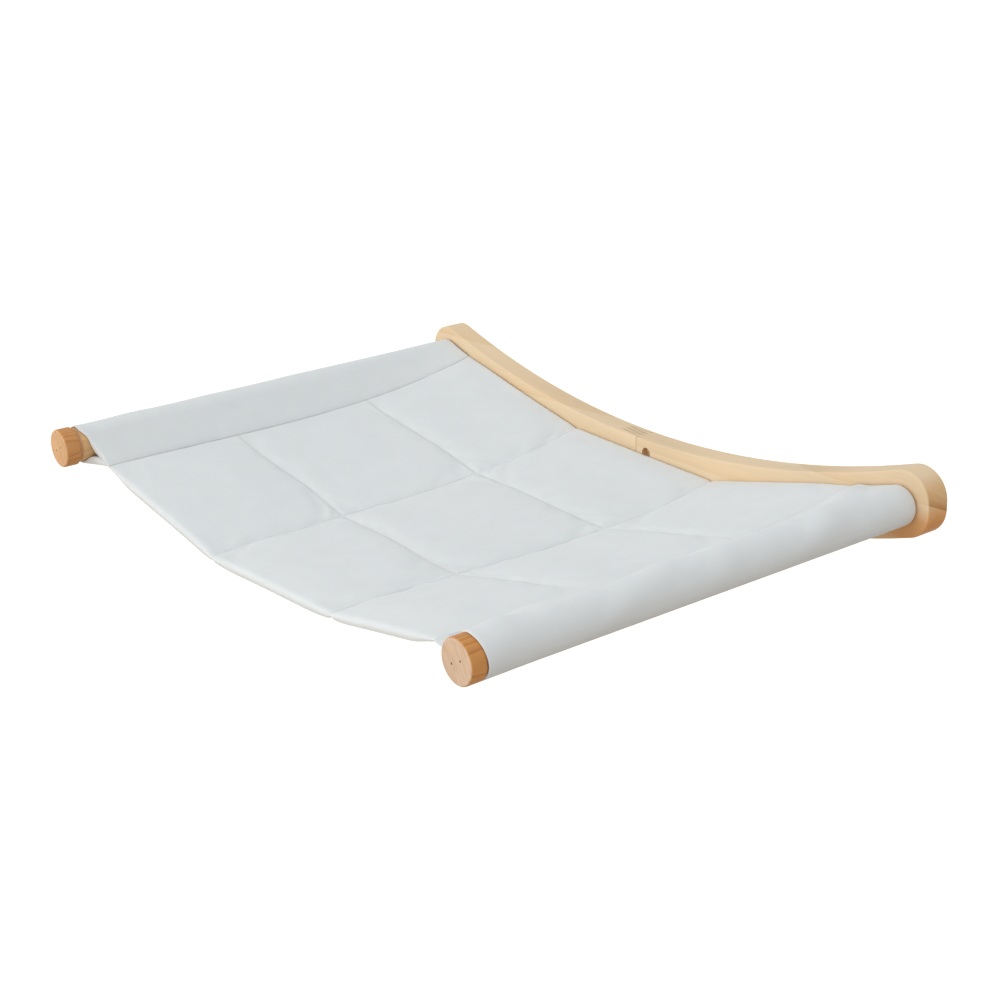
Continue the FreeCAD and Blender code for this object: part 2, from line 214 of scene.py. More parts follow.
def finish_cloth(piece: Piece, material: bpy.types.Material, *stands_for: str) -> None:
    """Smooths a cloth piece, dresses it and lets it stand for soft solids.

    Args:
        piece: The cloth piece.
        material: Its material.
        *stands_for: Names of the solids that it takes the place of.
    """
    smooth = piece.modifiers.new("smooth", "SUBSURF")
    smooth.levels = 1
    smooth.render_levels = 1
    dress(piece, material)
    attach(piece, "wall_frame")
    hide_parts(*stands_for)


class NodeSheet:
    """Adds nodes to one node tree and joins them."""

    def __init__(self, tree: Tree) -> None:
        """Keeps the tree that the nodes go into."""
        self.tree = tree

    def wire(self, node: bpy.types.Node, inputs: dict) -> None:
        """Joins a node's inputs, by name or number, to sockets, or sets them to plain values.

        Args:
            node: The node.
            inputs: For each input, a socket to join or a plain value.
        """
        for key, value in inputs.items():
            if isinstance(value, Socket):
                self.tree.links.new(value, node.inputs[key])
            else:
                node.inputs[key].default_value = value

    def add(self, kind: str, inputs: dict | None = None, **settings: object) -> bpy.types.Node:
        """Adds a node, sets it up and joins its inputs.

        Args:
            kind: The node's type name.
            inputs: For each input, by name or number, a socket to join or a plain value.
            **settings: The node's own properties.

        Returns:
            The new node.
        """
        node = self.tree.nodes.new(kind)
        for key, value in settings.items():
            setattr(node, key, value)
        self.wire(node, inputs or {})
        return node

    def math(self, operation: str, first: object, second: object = 0.0, third: object = 0.5) -> Socket:
        """Joins two or three values by a Math node and returns its result."""
        return self.add("ShaderNodeMath", {0: first, 1: second, 2: third}, operation=operation).outputs[0]

    def vector(self, operation: str, first: object, second: object) -> Socket:
        """Joins two vectors by a Vector Math node and returns its result."""
        return self.add("ShaderNodeVectorMath", {0: first, 1: second}, operation=operation).outputs[0]

    def scaled(self, vector: object, factor: object) -> Socket:
        """Multiplies a vector or a colour by one number and returns the result."""
        return self.add("ShaderNodeVectorMath", {0: vector, "Scale": factor}, operation="SCALE").outputs[0]

    def axes(self, vector: Socket) -> bpy.types.bpy_prop_collection:
        """The X, Y and Z sockets of a vector."""
        return self.add("ShaderNodeSeparateXYZ", {0: vector}).outputs

    def object_place(self) -> Socket:
        """The object coordinates."""
        return self.add("ShaderNodeTexCoord").outputs["Object"]

    def noise(self, vector: Socket, scale: float, detail: float, roughness: float = 0.5,
              distortion: float = 0.0) -> bpy.types.Node:
        """A noise texture.

        Args:
            vector: Where it is read.
            scale: How often it repeats in one metre.
            detail: How many finer layers it has.
            roughness: How strong the finer layers are.
            distortion: How much it is bent.

        Returns:
            The texture's node.
        """
        return self.add("ShaderNodeTexNoise", {"Vector": vector, "Scale": scale, "Detail": detail,
                                               "Roughness": roughness, "Distortion": distortion})

    def bump(self, height: Socket, strength: float, distance: float, **under: Socket) -> Socket:
        """A bumped normal; under may give the Normal that it is laid on."""
        inputs = {"Height": height, "Strength": strength, "Distance": distance, **under}
        return self.add("ShaderNodeBump", inputs).outputs[0]

    def ramp(self, value: object, low: float, high: float, start: float = 0.0, end: float = 1.0) -> Socket:
        """Maps a value from low and high to start and end, with the ends held."""
        inputs = {0: value, 1: low, 2: high, 3: start, 4: end}
        return self.add("ShaderNodeMapRange", inputs, clamp=True).outputs[0]

    def blend(self, share: object, first: object, second: object, way: str = "MIX") -> Socket:
        """Mixes a share of the second colour into the first, by a blend type."""
        inputs = {0: share, 6: first, 7: second}
        return self.add("ShaderNodeMix", inputs, data_type="RGBA", blend_type=way).outputs[2]


def rgba(colour: Colour) -> tuple[float, float, float, float]:
    """A colour with full opacity added."""
    return (*colour, 1.0)


def new_group(name: str, inputs: dict[str, str], outputs: tuple[str, ...]) -> tuple:
    """An empty shader node group with named sockets.

    Args:
        name: Name of the group.
        inputs: Socket type of each input.
        outputs: Names of the outputs, which are plain numbers.

    Returns:
        The group, its sheet of nodes, its input sockets and its output node.
    """
    group = bpy.data.node_groups.new(name, "ShaderNodeTree")
    for label, kind in inputs.items():
        group.interface.new_socket(label, in_out="INPUT", socket_type=kind)
    for label in outputs:
        group.interface.new_socket(label, in_out="OUTPUT", socket_type="NodeSocketFloat")
    sheet = NodeSheet(group)
    return group, sheet, sheet.add("NodeGroupInput").outputs, sheet.add("NodeGroupOutput")


def timber_group() -> Tree:
    """Growth rings, fibres, flecks and slow tone of sawn softwood, with the grain along Z.

    Rings are a wave of the distance from the Z axis, bent by a slow noise that is drawn out along
    the grain. Fibres are a fine noise drawn out along the grain, flecks are streaks that slant
    across the end grain, and the tone is a coarse noise.

    Returns:
        The node group, with outputs Rings, Fibres, Flecks and Tone from 0 to 1.
    """
    group, sheet, given, result = new_group(
        "timber_grain",
        {"Place": "NodeSocketVector", "Ring Scale": "NodeSocketFloat", "Wander": "NodeSocketFloat"},
        ("Rings", "Fibres", "Flecks", "Tone"),
    )
    place = given["Place"]
    slow = sheet.noise(sheet.vector("MULTIPLY", place, SLOW_STRETCH), 1.0, 2.0, 0.45)
    centred = sheet.vector("SUBTRACT", slow.outputs["Color"], (0.5, 0.5, 0.5))
    bent = sheet.vector("ADD", place, sheet.scaled(centred, given["Wander"]))
    wave = sheet.add("ShaderNodeTexWave", {"Vector": bent, "Scale": given["Ring Scale"], "Distortion": 0.5,
                                           "Detail": 2.0, "Detail Scale": 1.5},
                     wave_type="RINGS", rings_direction="Z", wave_profile="SAW")
    slanted = sheet.add("ShaderNodeMapping", {"Vector": place, "Rotation": FLECK_SLANT, "Scale": FLECK_SIZE},
                        vector_type="TEXTURE")
    fibres = sheet.noise(sheet.vector("MULTIPLY", place, FIBRE_STRETCH), 1.0, 3.0, 0.6)
    flecks = sheet.noise(slanted.outputs[0], 1.0, 2.5, 0.55, 0.6)
    tone = sheet.noise(sheet.vector("MULTIPLY", place, TONE_STRETCH), 1.0, 3.0)
    sheet.wire(result, {"Rings": sheet.math("POWER", wave.outputs["Fac"], LATE_WOOD_POWER),
                        "Fibres": fibres.outputs["Fac"], "Flecks": flecks.outputs["Fac"],
                        "Tone": tone.outputs["Fac"]})
    return group


def weave_group() -> Tree:
    """Plain weave of fine yarns: sin(u) sin(v) crossings, with uneven yarns and a soft crumple.

    Returns:
        The node group, with outputs Yarn and Crumple from 0 to 1.
    """
    group, sheet, given, result = new_group(
        "plain_weave", {"Place": "NodeSocketVector", "Yarns": "NodeSocketFloat"}, ("Yarn", "Crumple"))
    place = given["Place"]
    axes = sheet.axes(place)
    turns = sheet.math("MULTIPLY", given["Yarns"], TURN)
    warp, weft = (sheet.math("SINE", sheet.math("MULTIPLY", axes[k], turns)) for k in range(2))
    crossing = sheet.ramp(sheet.math("MULTIPLY", warp, weft), -1.0, 1.0)
    across, along = (sheet.noise(sheet.vector("MULTIPLY", place, stretch), 1.0, 1.0).outputs["Fac"]
                     for stretch in (SLUB_ACROSS, SLUB_ALONG))
    slubs = sheet.math("ADD", across, along)
    crumple = sheet.noise(place, CRUMPLE_SCALE, 3.0, 0.5, 0.4)
    sheet.wire(result, {"Yarn": sheet.math("MULTIPLY", sheet.math("ADD", crossing, slubs), YARN_SHARE),
                        "Crumple": crumple.outputs["Fac"]})
    return group


def blank_sheet(owner: bpy.types.ID) -> NodeSheet:
    """Empties the nodes of a material or a world.

    Args:
        owner: The material or the world.

    Returns:
        The sheet that adds nodes to it.
    """
    owner.use_nodes = True
    owner.node_tree.nodes.clear()
    return NodeSheet(owner.node_tree)


def new_material(name: str) -> tuple:
    """An empty material.

    Args:
        name: Name of the material.

    Returns:
        The material, its sheet of nodes and its Principled shader.
    """
    material = bpy.data.materials.new(name)
    sheet = blank_sheet(material)
    shader = sheet.add("ShaderNodeBsdfPrincipled")
    sheet.add("ShaderNodeOutputMaterial", {"Surface": shader.outputs[0]})
    return material, sheet, shader


@dataclass(frozen=True)
class TimberFinish:
    """Oiled timber with growth rings, fibres and darker end grain."""

    name: str
    axis: GrainAxis
    early: Colour
    late: Colour
    end_early: Colour
    end_late: Colour
    pith: Triple
    ring_scale: float = 60.0
    wander: float = 0.03
    contrast: float = 0.7
    end_contrast: float = 0.7
    end_fleck: float = 0.3
    end_normal: int = 0
    tone_range: Numbers = (0.93, 1.05)
    fibre_range: Numbers = (0.955, 1.03)
    rough_range: Numbers = (0.5, 0.68)
    bump_strength: float = 0.25
    bump_depth: float = 0.2 * MM
    gloss: float = 0.2
    joint_x: float | None = None
    joint_shoulder: float = 3.0
    finger_pitch: float = 4.0
    finger_length: float = 20.0
    bar_depth: float = 18.0
    glue_edge: Numbers = (0.15, 0.4)
    glue_strength: float = 0.8
    glue: Colour = (0.30, 0.17, 0.08)
    # Painted shade: a darker, warmer colour multiplied into the low part of the board's outer end
    heart: Colour | None = None
    heart_z: Numbers = mm(29.0, 17.0)
    heart_x: Numbers = mm(215.0, 245.0)

    def glue_line(self, sheet: NodeSheet, place: Socket) -> Socket:
        """Mask of the thin dark line where the two boards of the bar are glued.

        The joint runs at joint_x, and between its shoulders it steps to and fro in fingers: with
        f the share of one finger's pitch, x = joint_x - finger length (1 - |2f - 1|).

        Args:
            sheet: The material's nodes.
            place: Object coordinates.

        Returns:
            1 on the line and 0 away from it.
        """
        x, y = sheet.axes(place)[:2]
        deep = sheet.math("MULTIPLY", y, -1.0 / MM)
        pitches = sheet.math("DIVIDE", sheet.math("SUBTRACT", deep, self.joint_shoulder), self.finger_pitch)
        slope = sheet.math("MULTIPLY_ADD", sheet.math("FRACT", pitches), 2.0, -1.0)
        finger = sheet.math("SUBTRACT", 1.0, sheet.math("ABSOLUTE", slope))
        middle = 0.5 * self.bar_depth
        inside = sheet.math("COMPARE", deep, middle, middle - self.joint_shoulder)
        shift = sheet.math("MULTIPLY", sheet.math("MULTIPLY", finger, inside), -self.finger_length)
        from_joint = sheet.math("MULTIPLY", sheet.math("SUBTRACT", x, self.joint_x), 1.0 / MM)
        gap = sheet.math("ABSOLUTE", sheet.math("SUBTRACT", from_joint, shift))
        slant = 0.5 * self.finger_pitch / self.finger_length
        near = sheet.math("MULTIPLY", gap, sheet.ramp(inside, 0.0, 1.0, 1.0, slant))
        return sheet.ramp(near, *self.glue_edge, self.glue_strength, 0.0)

    def heart_mask(self, sheet: NodeSheet, place: Socket) -> Socket:
        """Mask of the painted shade low down on the board's outer end, darker and warmer towards the bottom:
        a ramp in Z times a ramp in X.
        """
        x, _, z = sheet.axes(place)
        return sheet.math("MULTIPLY", sheet.ramp(z, *self.heart_z), sheet.ramp(x, *self.heart_x))

    def material(self, grain: Tree) -> bpy.types.Material:
        """Builds the finish.

        The colour runs from early to late wood by the rings, is varied by tone and fibres, and
        turns to the end-grain colour where the surface faces along the grain.

        Args:
            grain: The timber node group.

        Returns:
            The new material.
        """
        material, sheet, shader = new_material(self.name)
        place = sheet.object_place()
        turned = sheet.add("ShaderNodeMapping", {"Vector": place, "Location": self.pith,
                                                 "Rotation": self.axis.value})
        inputs = {"Place": turned.outputs[0], "Ring Scale": self.ring_scale, "Wander": self.wander}
        wood = sheet.add("ShaderNodeGroup", inputs, node_tree=grain).outputs
        rings = sheet.math("MULTIPLY", wood["Rings"], self.contrast)
        long_grain = sheet.blend(rings, rgba(self.early), rgba(self.late))
        tone = sheet.ramp(wood["Tone"], 0.3, 0.7, *self.tone_range)
        fibre = sheet.ramp(wood["Fibres"], 0.25, 0.75, *self.fibre_range)
        facing = sheet.axes(sheet.add("ShaderNodeNewGeometry").outputs["Normal"])[self.end_normal]
        end_mask = sheet.ramp(sheet.math("ABSOLUTE", facing), 0.5, 0.9)
        fleck = sheet.ramp(wood["Flecks"], 0.35, 0.65, 0.0, self.end_fleck)
        end_rings = sheet.math("MULTIPLY", sheet.math("POWER", wood["Rings"], 2.0), self.end_contrast)
        end_late = sheet.math("MINIMUM", sheet.math("ADD", end_rings, fleck), 1.0)
        end_grain = sheet.blend(end_late, rgba(self.end_early), rgba(self.end_late))
        colour = sheet.blend(end_mask, long_grain, end_grain)
        # Painted shade: the low part of the board's outer end is made darker and warmer
        if self.heart is not None:
            colour = sheet.blend(self.heart_mask(sheet, place), colour, rgba(self.heart), "MULTIPLY")
        if self.joint_x is not None:
            colour = sheet.blend(self.glue_line(sheet, place), colour, rgba(self.glue))
        height = sheet.math("ADD", wood["Fibres"], sheet.math("MULTIPLY", wood["Rings"], 0.5))
        sheet.wire(shader, {
            "Base Color": sheet.scaled(colour, sheet.math("MULTIPLY", tone, fibre)),
            "Roughness": sheet.ramp(wood["Fibres"], 0.2, 0.8, *self.rough_range),
            "Normal": sheet.bump(height, self.bump_strength, self.bump_depth),
            "Specular IOR Level": self.gloss,
        })
        return material


@dataclass(frozen=True)
class ClothFinish:
    """White plain-weave cotton, with a painted shade, a little darker and warmer, along its sewn lines."""

    name: str
    colour: Colour
    # Colour of the painted shade along the sewn lines
    crease: Colour
    yarns: float = 1500.0
    line_shade_strength: float = 0.65
    crumple_range: Numbers = (0.985, 1.01)
    yarn_range: Numbers = (0.97, 1.015)
    rough_range: Numbers = (0.78, 0.9)
    crumple_strength: float = 0.16
    crumple_depth: float = 0.6 * MM
    yarn_strength: float = 0.3
    yarn_depth: float = 0.12 * MM
    gloss: float = 0.25
    glow: float = 0.35
    glow_tint: Colour = (1.0, 0.96, 0.92)
    glow_depth: float = 2.0 * MM
    sheen: float = 0.08
    sheen_rough: float = 0.5

    def material(self, weave: Tree) -> bpy.types.Material:
        """Builds the finish.

        The piece's own map carries the weave. The attribute line_shade_distance, in millimetres,
        paints shade in a narrow darker line along each seam and quilting line.

        Args:
            weave: The weave node group.

        Returns:
            The new material.
        """
        material, sheet, shader = new_material(self.name)
        place = sheet.add("ShaderNodeUVMap", uv_map="cloth_map").outputs[0]
        cloth = sheet.add("ShaderNodeGroup", {"Place": place, "Yarns": self.yarns}, node_tree=weave).outputs
        sewn = sheet.add("ShaderNodeAttribute", attribute_name="line_shade_distance").outputs["Fac"]
        # Painted shade: near each sewn line the colour is mixed towards the crease colour
        line = sheet.ramp(sewn, 0.0, CREASE_REACH, self.line_shade_strength, 0.0)
        crumple = sheet.ramp(cloth["Crumple"], 0.3, 0.7, *self.crumple_range)
        yarn = sheet.ramp(cloth["Yarn"], 0.2, 1.0, *self.yarn_range)
        base = sheet.scaled(self.colour, sheet.math("MULTIPLY", crumple, yarn))
        soft = sheet.bump(cloth["Crumple"], self.crumple_strength, self.crumple_depth)
        sheet.wire(shader, {
            "Base Color": sheet.blend(line, base, rgba(self.crease)),
            "Normal": sheet.bump(cloth["Yarn"], self.yarn_strength, self.yarn_depth, Normal=soft),
            "Roughness": sheet.ramp(cloth["Yarn"], 0.0, 1.0, *self.rough_range),
            "Specular IOR Level": self.gloss,
            "Subsurface Weight": self.glow,
            "Subsurface Radius": self.glow_tint,
            "Subsurface Scale": self.glow_depth,
            "Sheen Weight": self.sheen,
            "Sheen Roughness": self.sheen_rough,
        })
        return material


@dataclass(frozen=True)
class MetalFinish:
    """Plain metal hardware with brushed unevenness and a little tarnish."""

    name: str
    bright: Colour
    dull: Colour
    rough: float = 0.35
    rough_spread: Numbers = (-0.08, 0.12)
    mottle_scale: float = 420.0
    bump_strength: float = 0.1
    bump_depth: float = 0.1 * MM

    def material(self) -> bpy.types.Material:
        """Builds the finish: a mottled colour and a roughness that follows the same mottle.

        Returns:
            The new material.
        """
        material, sheet, shader = new_material(self.name)
        mottle = sheet.noise(sheet.object_place(), self.mottle_scale, 4.0).outputs["Fac"]
        rough = (self.rough + spread for spread in self.rough_spread)
        sheet.wire(shader, {
            "Base Color": sheet.blend(mottle, rgba(self.bright), rgba(self.dull)),
            "Roughness": sheet.ramp(mottle, 0.3, 0.7, *rough),
            "Normal": sheet.bump(mottle, self.bump_strength, self.bump_depth),
            "Metallic": 1.0,
        })
        return material


@dataclass(frozen=True)
class ThreadFinish:
    """Twisted cotton sewing thread."""

    name: str
    colour: Colour
    twist_scale: float = 900.0
    twist_range: Numbers = (0.86, 1.04)
    bump_strength: float = 0.4
    bump_depth: float = 0.1 * MM
    rough: float = 0.75

    def material(self) -> bpy.types.Material:
        """Builds the finish: a twist of diagonal bands along the thread.

        Returns:
            The new material.
        """
        material, sheet, shader = new_material(self.name)
        inputs = {"Vector": sheet.object_place(), "Scale": self.twist_scale, "Distortion": 1.0}
        wave = sheet.add("ShaderNodeTexWave", inputs, wave_type="BANDS", bands_direction="DIAGONAL")
        twist = wave.outputs["Fac"]
        sheet.wire(shader, {
            "Base Color": sheet.scaled(self.colour, sheet.ramp(twist, 0.0, 1.0, *self.twist_range)),
            "Normal": sheet.bump(twist, self.bump_strength, self.bump_depth),
            "Roughness": self.rough,
        })
        return material


@dataclass
class SlingForm:
    """Where the sling's sewn lines run, and how high they hang.

    The four long lines are the left seam, two quilting lines and the right seam. Each has a level
    and a sway at the back hem, at the two rows and at the front hem, and a cubic through those
    four gives the values in between.
    """

    back_y: float = -19.3 * MM
    front_y: float = -343.0 * MM
    row_y: Numbers = mm(-121.0, -237.0)
    row_shift: tuple[Numbers, ...] = (mm(-1.0, 4.0, 0.0, 0.0), mm(-2.0, 5.4, -6.5, -2.0))
    front_shift: Numbers = mm(-3.0, 2.6, 1.8, -2.0)
    back_x: Numbers = mm(-217.0, -78.6, 70.7, 204.0)
    front_x: Numbers = mm(-217.0, -78.6, 70.7, 191.0)
    sway: tuple[Numbers, ...] = (
        mm(0.0, 0.0, 0.0, 0.0), mm(0.0, 2.5, -5.0, 0.0), mm(0.0, 3.0, 0.0, 0.0), mm(0.0, 0.0, 0.0, 0.0))
    level: tuple[Numbers, ...] = (
        mm(31.5, 16.0, 13.4, 14.2), mm(0.4, -12.9, -19.0, -18.4), mm(-4.1, -12.8, -13.1, -11.5),
        mm(28.5, 16.4, 13.5, 13.6))
    sag_back: Numbers = mm(1.0, 0.4, 0.0)
    sag_front: float = -0.5 * MM
    fold_end: Numbers = mm(25.0, 100.0)

    def share(self, y: Array) -> Array:
        """How far a point is from the back hem to the front hem, from 0 to 1."""
        return (self.back_y - y) / (self.back_y - self.front_y)

    def cubic(self, values: Numbers, y: Array) -> Array:
        """The cubic through a long line's values at the back hem, the two rows and the front hem."""
        knots = self.share(np.array([self.back_y, *self.row_y, self.front_y]))
        return np.polyval(np.polyfit(knots, np.array(values), 3), self.share(y))

    def cross_y(self, u: Array, shifts: Numbers, y: float) -> Array:
        """Where a crosswise line runs: its depth plus shifts that are eased from long line to long line.

        Args:
            u: Column number plus the share across that column, from 0 to 3.
            shifts: How far the line is moved at each of the four long lines.
            y: Depth of the unmoved line.

        Returns:
            Y at each place.
        """
        column = cell_of(u)
        steps = np.array(shifts)
        return y + steps[column] + (steps[column + 1] - steps[column]) * smooth_step(u - column, 0.0, 1.0)

    def line_x(self, line: int, y: Array) -> Array:
        """Where a long line runs: straight from back to front, plus its sway."""
        back, front = self.back_x[line], self.front_x[line]
        return back + (front - back) * self.share(y) + self.cubic(self.sway[line], y)

    def line_z(self, line: int, y: Array) -> Array:
        """How high a long line hangs."""
        return self.cubic(self.level[line], y)

    def from_hem(self, y: Array) -> Array:
        """Distance from the nearer of the back hem and the front hem."""
        return np.minimum(y - self.front_y, self.back_y - y)

    def from_seam(self, x: Array, y: Array) -> Array:
        """Distance from the nearer seam."""
        return np.minimum(x - self.line_x(0, y), self.line_x(3, y) - x)

    def unfolded(self, y: Array) -> Array:
        """0 at the front, where the pad folds against the right sleeve, and 1 where the fold has ended."""
        return smooth_step(y - self.front_y, *self.fold_end)

    def surface(self, u: Array, y: Array) -> tuple[Array, Array]:
        """The middle of the sling: straight from line to line, less a sag of 4 s (1 - s).

        Args:
            u: Column number plus the share s across that column, from 0 to 3.
            y: Places along the depth.

        Returns:
            X and Z at each place.
        """
        column = cell_of(u)
        s = u - column
        xs = np.stack([self.line_x(k, y) for k in range(4)])
        zs = np.stack([self.line_z(k, y) for k in range(4)])
        x, z = (picked(v, column) + (picked(v, column + 1) - picked(v, column)) * s for v in (xs, zs))
        back = np.array(self.sag_back)[column]
        sag = back + (self.sag_front - back) * self.share(y)
        return x, z - sag * 4.0 * s * (1.0 - s)


@dataclass
class QuiltedPad:
    """The padded middle of the sling: nine stuffed cells between two cloths.

    The start shape is a grid over columns and rows, with a top and a bottom sheet that share their
    outer edge. A cloth simulation with pressure inside then swells the cells between the sewn lines.
    Values named near, fade, faint or fold are in millimetres, like the distances that they go with.
    """

    form: SlingForm
    finish: ClothFinish
    cells_across: int = 28
    cells_along: int = 24
    easing: float = 0.7
    hem_rows: int = 8
    hem_clear: float = 0.045
    back_round: float = 1.2 * MM
    front_round: float = 4.0 * MM
    wall_lean: float = 0.9 * MM
    wall_share: float = 0.45
    wall_rows: float = 0.375
    sewn_half: float = 0.8 * MM
    puff: tuple[tuple[Face, float], ...] = ((Face.TOP, 1.6 * MM), (Face.BOTTOM, 1.8 * MM))
    fold_width: float = 3.5
    # How much fainter the painted shade is on some stretches, and where it fades at crossings and towards the
    # hems
    long_faint: tuple[Numbers, ...] = ((1.1, 0.2, 0.5), (0.6, 0.0, 0.0))
    row_faint: Numbers = (0.0, 0.0, 0.9)
    crossing_fade: Numbers = (0.3, 2.0)
    hem_fade: float = 3.0
    back_puff: float = 0.8
    front_puff: float = 0.3
    hem_reach: float = 0.42
    back_drop: float = 3.0 * MM
    front_drop: float = 5.0 * MM
    hem_pinch: float = 0.3
    seam_reach: float = 0.26
    seam_slope: float = 0.05
    held_near: float = 0.4
    quality: int = 6
    mass: float = 0.15
    pressure: float = 4.0
    slack: float = 0.02
    frames: int = 20
    reach: float = 0.8 * MM
    calm_edge: float = 28.0 * MM
    gather: float = 0.18 * MM
    gather_near: float = 5.0
    gather_fade: Numbers = (6.0, 24.0)
    gather_waves: Numbers = mm(13.0, 24.0)
    gather_count: int = 7
    gather_seed: int = 11
    uneven: float = 0.45 * MM
    uneven_near: float = 30.0
    uneven_waves: Numbers = mm(55.0, 120.0)
    uneven_count: int = 6
    uneven_seed: int = 5
    sway: Numbers = mm(0.9, 0.8)
    sway_waves: Numbers = mm(95.0, 120.0)
    sway_phase: Numbers = (0.6, 1.9)
    sway_hem: float = 12.0 * MM
    sway_seam: Numbers = mm(2.0, 30.0)
    u: Array = field(init=False)
    v: Array = field(init=False)
    y: Array = field(init=False)
    points: dict[Face, Array] = field(init=False, default_factory=dict)

    def __post_init__(self) -> None:
        """Spreads the grid lines, closer together beside the sewn lines; the hems get rows of their own."""
        columns = [self.eased(self.cells_across) + k for k in range(3)]
        rows = np.concatenate([self.eased(self.cells_along) + k for k in range(3)])
        inner = rows[(rows > self.hem_clear) & (rows < 3.0 - self.hem_clear)]
        hem = np.zeros(self.hem_rows)
        lines = np.concatenate([hem, inner, hem + 3.0])
        self.u, self.v = np.meshgrid(np.concatenate([*columns, [3.0]]), lines)
        self.y = self.depth()

    def eased(self, count: int) -> Array:
        """Shares t - e sin(2 pi t) / (2 pi) of one cell, with easing e, from 0 up to but not including 1."""
        step = np.linspace(0.0, 1.0, count + 1)[:-1]
        return step - self.easing * np.sin(TURN * step) / TURN

    def depth(self) -> Array:
        """Y of each grid point: straight from each crosswise line to the next.

        Returns:
            Rows by columns of Y.
        """
        form = self.form
        crosswise = [*zip(form.row_shift, form.row_y), (form.front_shift, form.front_y)]
        back = np.full_like(self.u, form.back_y)
        lines = np.stack([back] + [form.cross_y(self.u, *line) for line in crosswise])
        row = cell_of(self.v)
        low, high = picked(lines, row), picked(lines, row + 1)
        return low + (high - low) * (self.v - row)

    def line_distances(self) -> tuple[Array, Array]:
        """Distance of each grid point from the long lines and from the rows.

        Returns:
            Distance from each of the four long lines, and from each of the two rows, in millimetres.
        """
        form = self.form
        x, _ = form.surface(self.u, self.y)
        across = np.stack([np.abs(x - form.line_x(k, self.y)) for k in range(4)])
        rows = [form.cross_y(self.u, form.row_shift[k], form.row_y[k]) for k in range(2)]
        return across / MM, np.stack([np.abs(self.y - row) for row in rows]) / MM

    def at_seam(self) -> Array:
        """0 on the two seams, rising to 1 within the seam's reach."""
        return smooth_step(np.minimum(self.u, 3.0 - self.u), 0.0, self.seam_reach)

    def column_swell(self) -> Array:
        """Swell across a column at the hems.

        With s the share across the column, it is (1 - |2s - 1|^6)^0.6 beside a quilting line, which
        is steep at the line and flat between. Beside the two seams it rises slowly instead.

        Returns:
            Swell from 0 to 1 at each grid point.
        """
        u = self.u
        s = u - cell_of(u)
        inner = np.where(u < 1.0, np.maximum(s, 0.5), np.where(u > 2.0, np.minimum(s, 0.5), s))
        return np.maximum(1.0 - np.abs(2.0 * inner - 1.0) ** 6, 0.0) ** 0.6 * self.at_seam()

    def cell_swell(self) -> Array:
        """Swell of the cells.

        At a distance d from a line it is 1 - exp(-d / fold width), the soft minimum of the long
        lines and the rows is (2 / (a^-3 + b^-3))^(1/3), and it falls off towards the seams and hems.

        Returns:
            Swell from 0 to 1 at each grid point.
        """
        across, along = self.line_distances()
        line, row = (np.maximum(1.0 - np.exp(-away.min(0) / self.fold_width), 1e-4)
                     for away in (across[1:3], along))
        soft = (2.0 / (line ** -3 + row ** -3)) ** (1.0 / 3.0)
        full = np.where(self.v < 1.5, self.back_puff, self.front_puff)
        at_hem = full + (1.0 - full) * smooth_step(np.minimum(self.v, 3.0 - self.v), 0.0, self.hem_reach)
        return soft * self.at_seam() * at_hem

    def hem_profile(self, face: Face, corner: float) -> tuple[Array, Array]:
        """How the rows of one hem step away from its edge, and how much of their full height they have.

        The top sheet rises from the edge up a wall that leans out a little, then turns in on a
        quarter circle. The bottom sheet turns in from the edge on a quarter circle of its own.

        Args:
            face: The sheet.
            corner: Radius of the quarter circle.

        Returns:
            For each row, from the edge inwards, its distance from the edge and its share of the height.
        """
        share = np.linspace(0.0, 1.0, self.hem_rows + 1)[:-1]
        if face is Face.BOTTOM:
            under = share * math.pi / 2.0
            return self.wall_lean + corner * (1.0 - np.cos(under)), np.sin(under)
        turn = np.clip((share - self.wall_rows) / (1.0 - self.wall_rows), 0.0, 1.0) * math.pi / 2.0
        wall = np.clip(share / self.wall_rows, 0.0, 1.0)
        height = self.wall_share * wall + (1.0 - self.wall_share) * np.sin(turn)
        return self.wall_lean * (1.0 - wall) + corner * (1.0 - np.cos(turn)), height

    def start_shape(self) -> dict[Face, Array]:
        """The two sheets before the simulation.

        Each sheet stands off the sling's middle by half the sewn thickness plus the swell of its
        column and row. At the back and front it runs down its hem profile to a low common edge,
        which is pinched together at the quilting lines.

        Returns:
            Rows by columns of points for each face.
        """
        swell = self.cell_swell()
        side = smooth_step(np.minimum(self.u, 3.0 - self.u), 0.0, self.seam_slope)
        rest = len(self.v) - 2 * self.hem_rows
        drop = np.where(self.v < 1.5, self.back_drop, self.front_drop)
        low = -drop * (self.hem_pinch + (1.0 - self.hem_pinch) * self.column_swell()) * side
        sheets = {}
        for face, puff in self.puff:
            back_step, back_full = self.hem_profile(face, self.back_round)
            front_step, front_full = self.hem_profile(face, self.front_round)
            step = np.concatenate([-back_step, np.zeros(rest), front_step[::-1]])
            full = np.concatenate([back_full, np.ones(rest), front_full[::-1]])[:, None]
            y = self.y + step[:, None]
            x, z = self.form.surface(self.u, y)
            lift = face.value * (self.sewn_half * side + puff * swell)
            if face is Face.BOTTOM:
                lift = np.where(full < 1.0, np.minimum(lift, low), lift)
            sheets[face] = np.stack([x, y, z + low + (lift - low) * full], axis=-1)
        return sheets

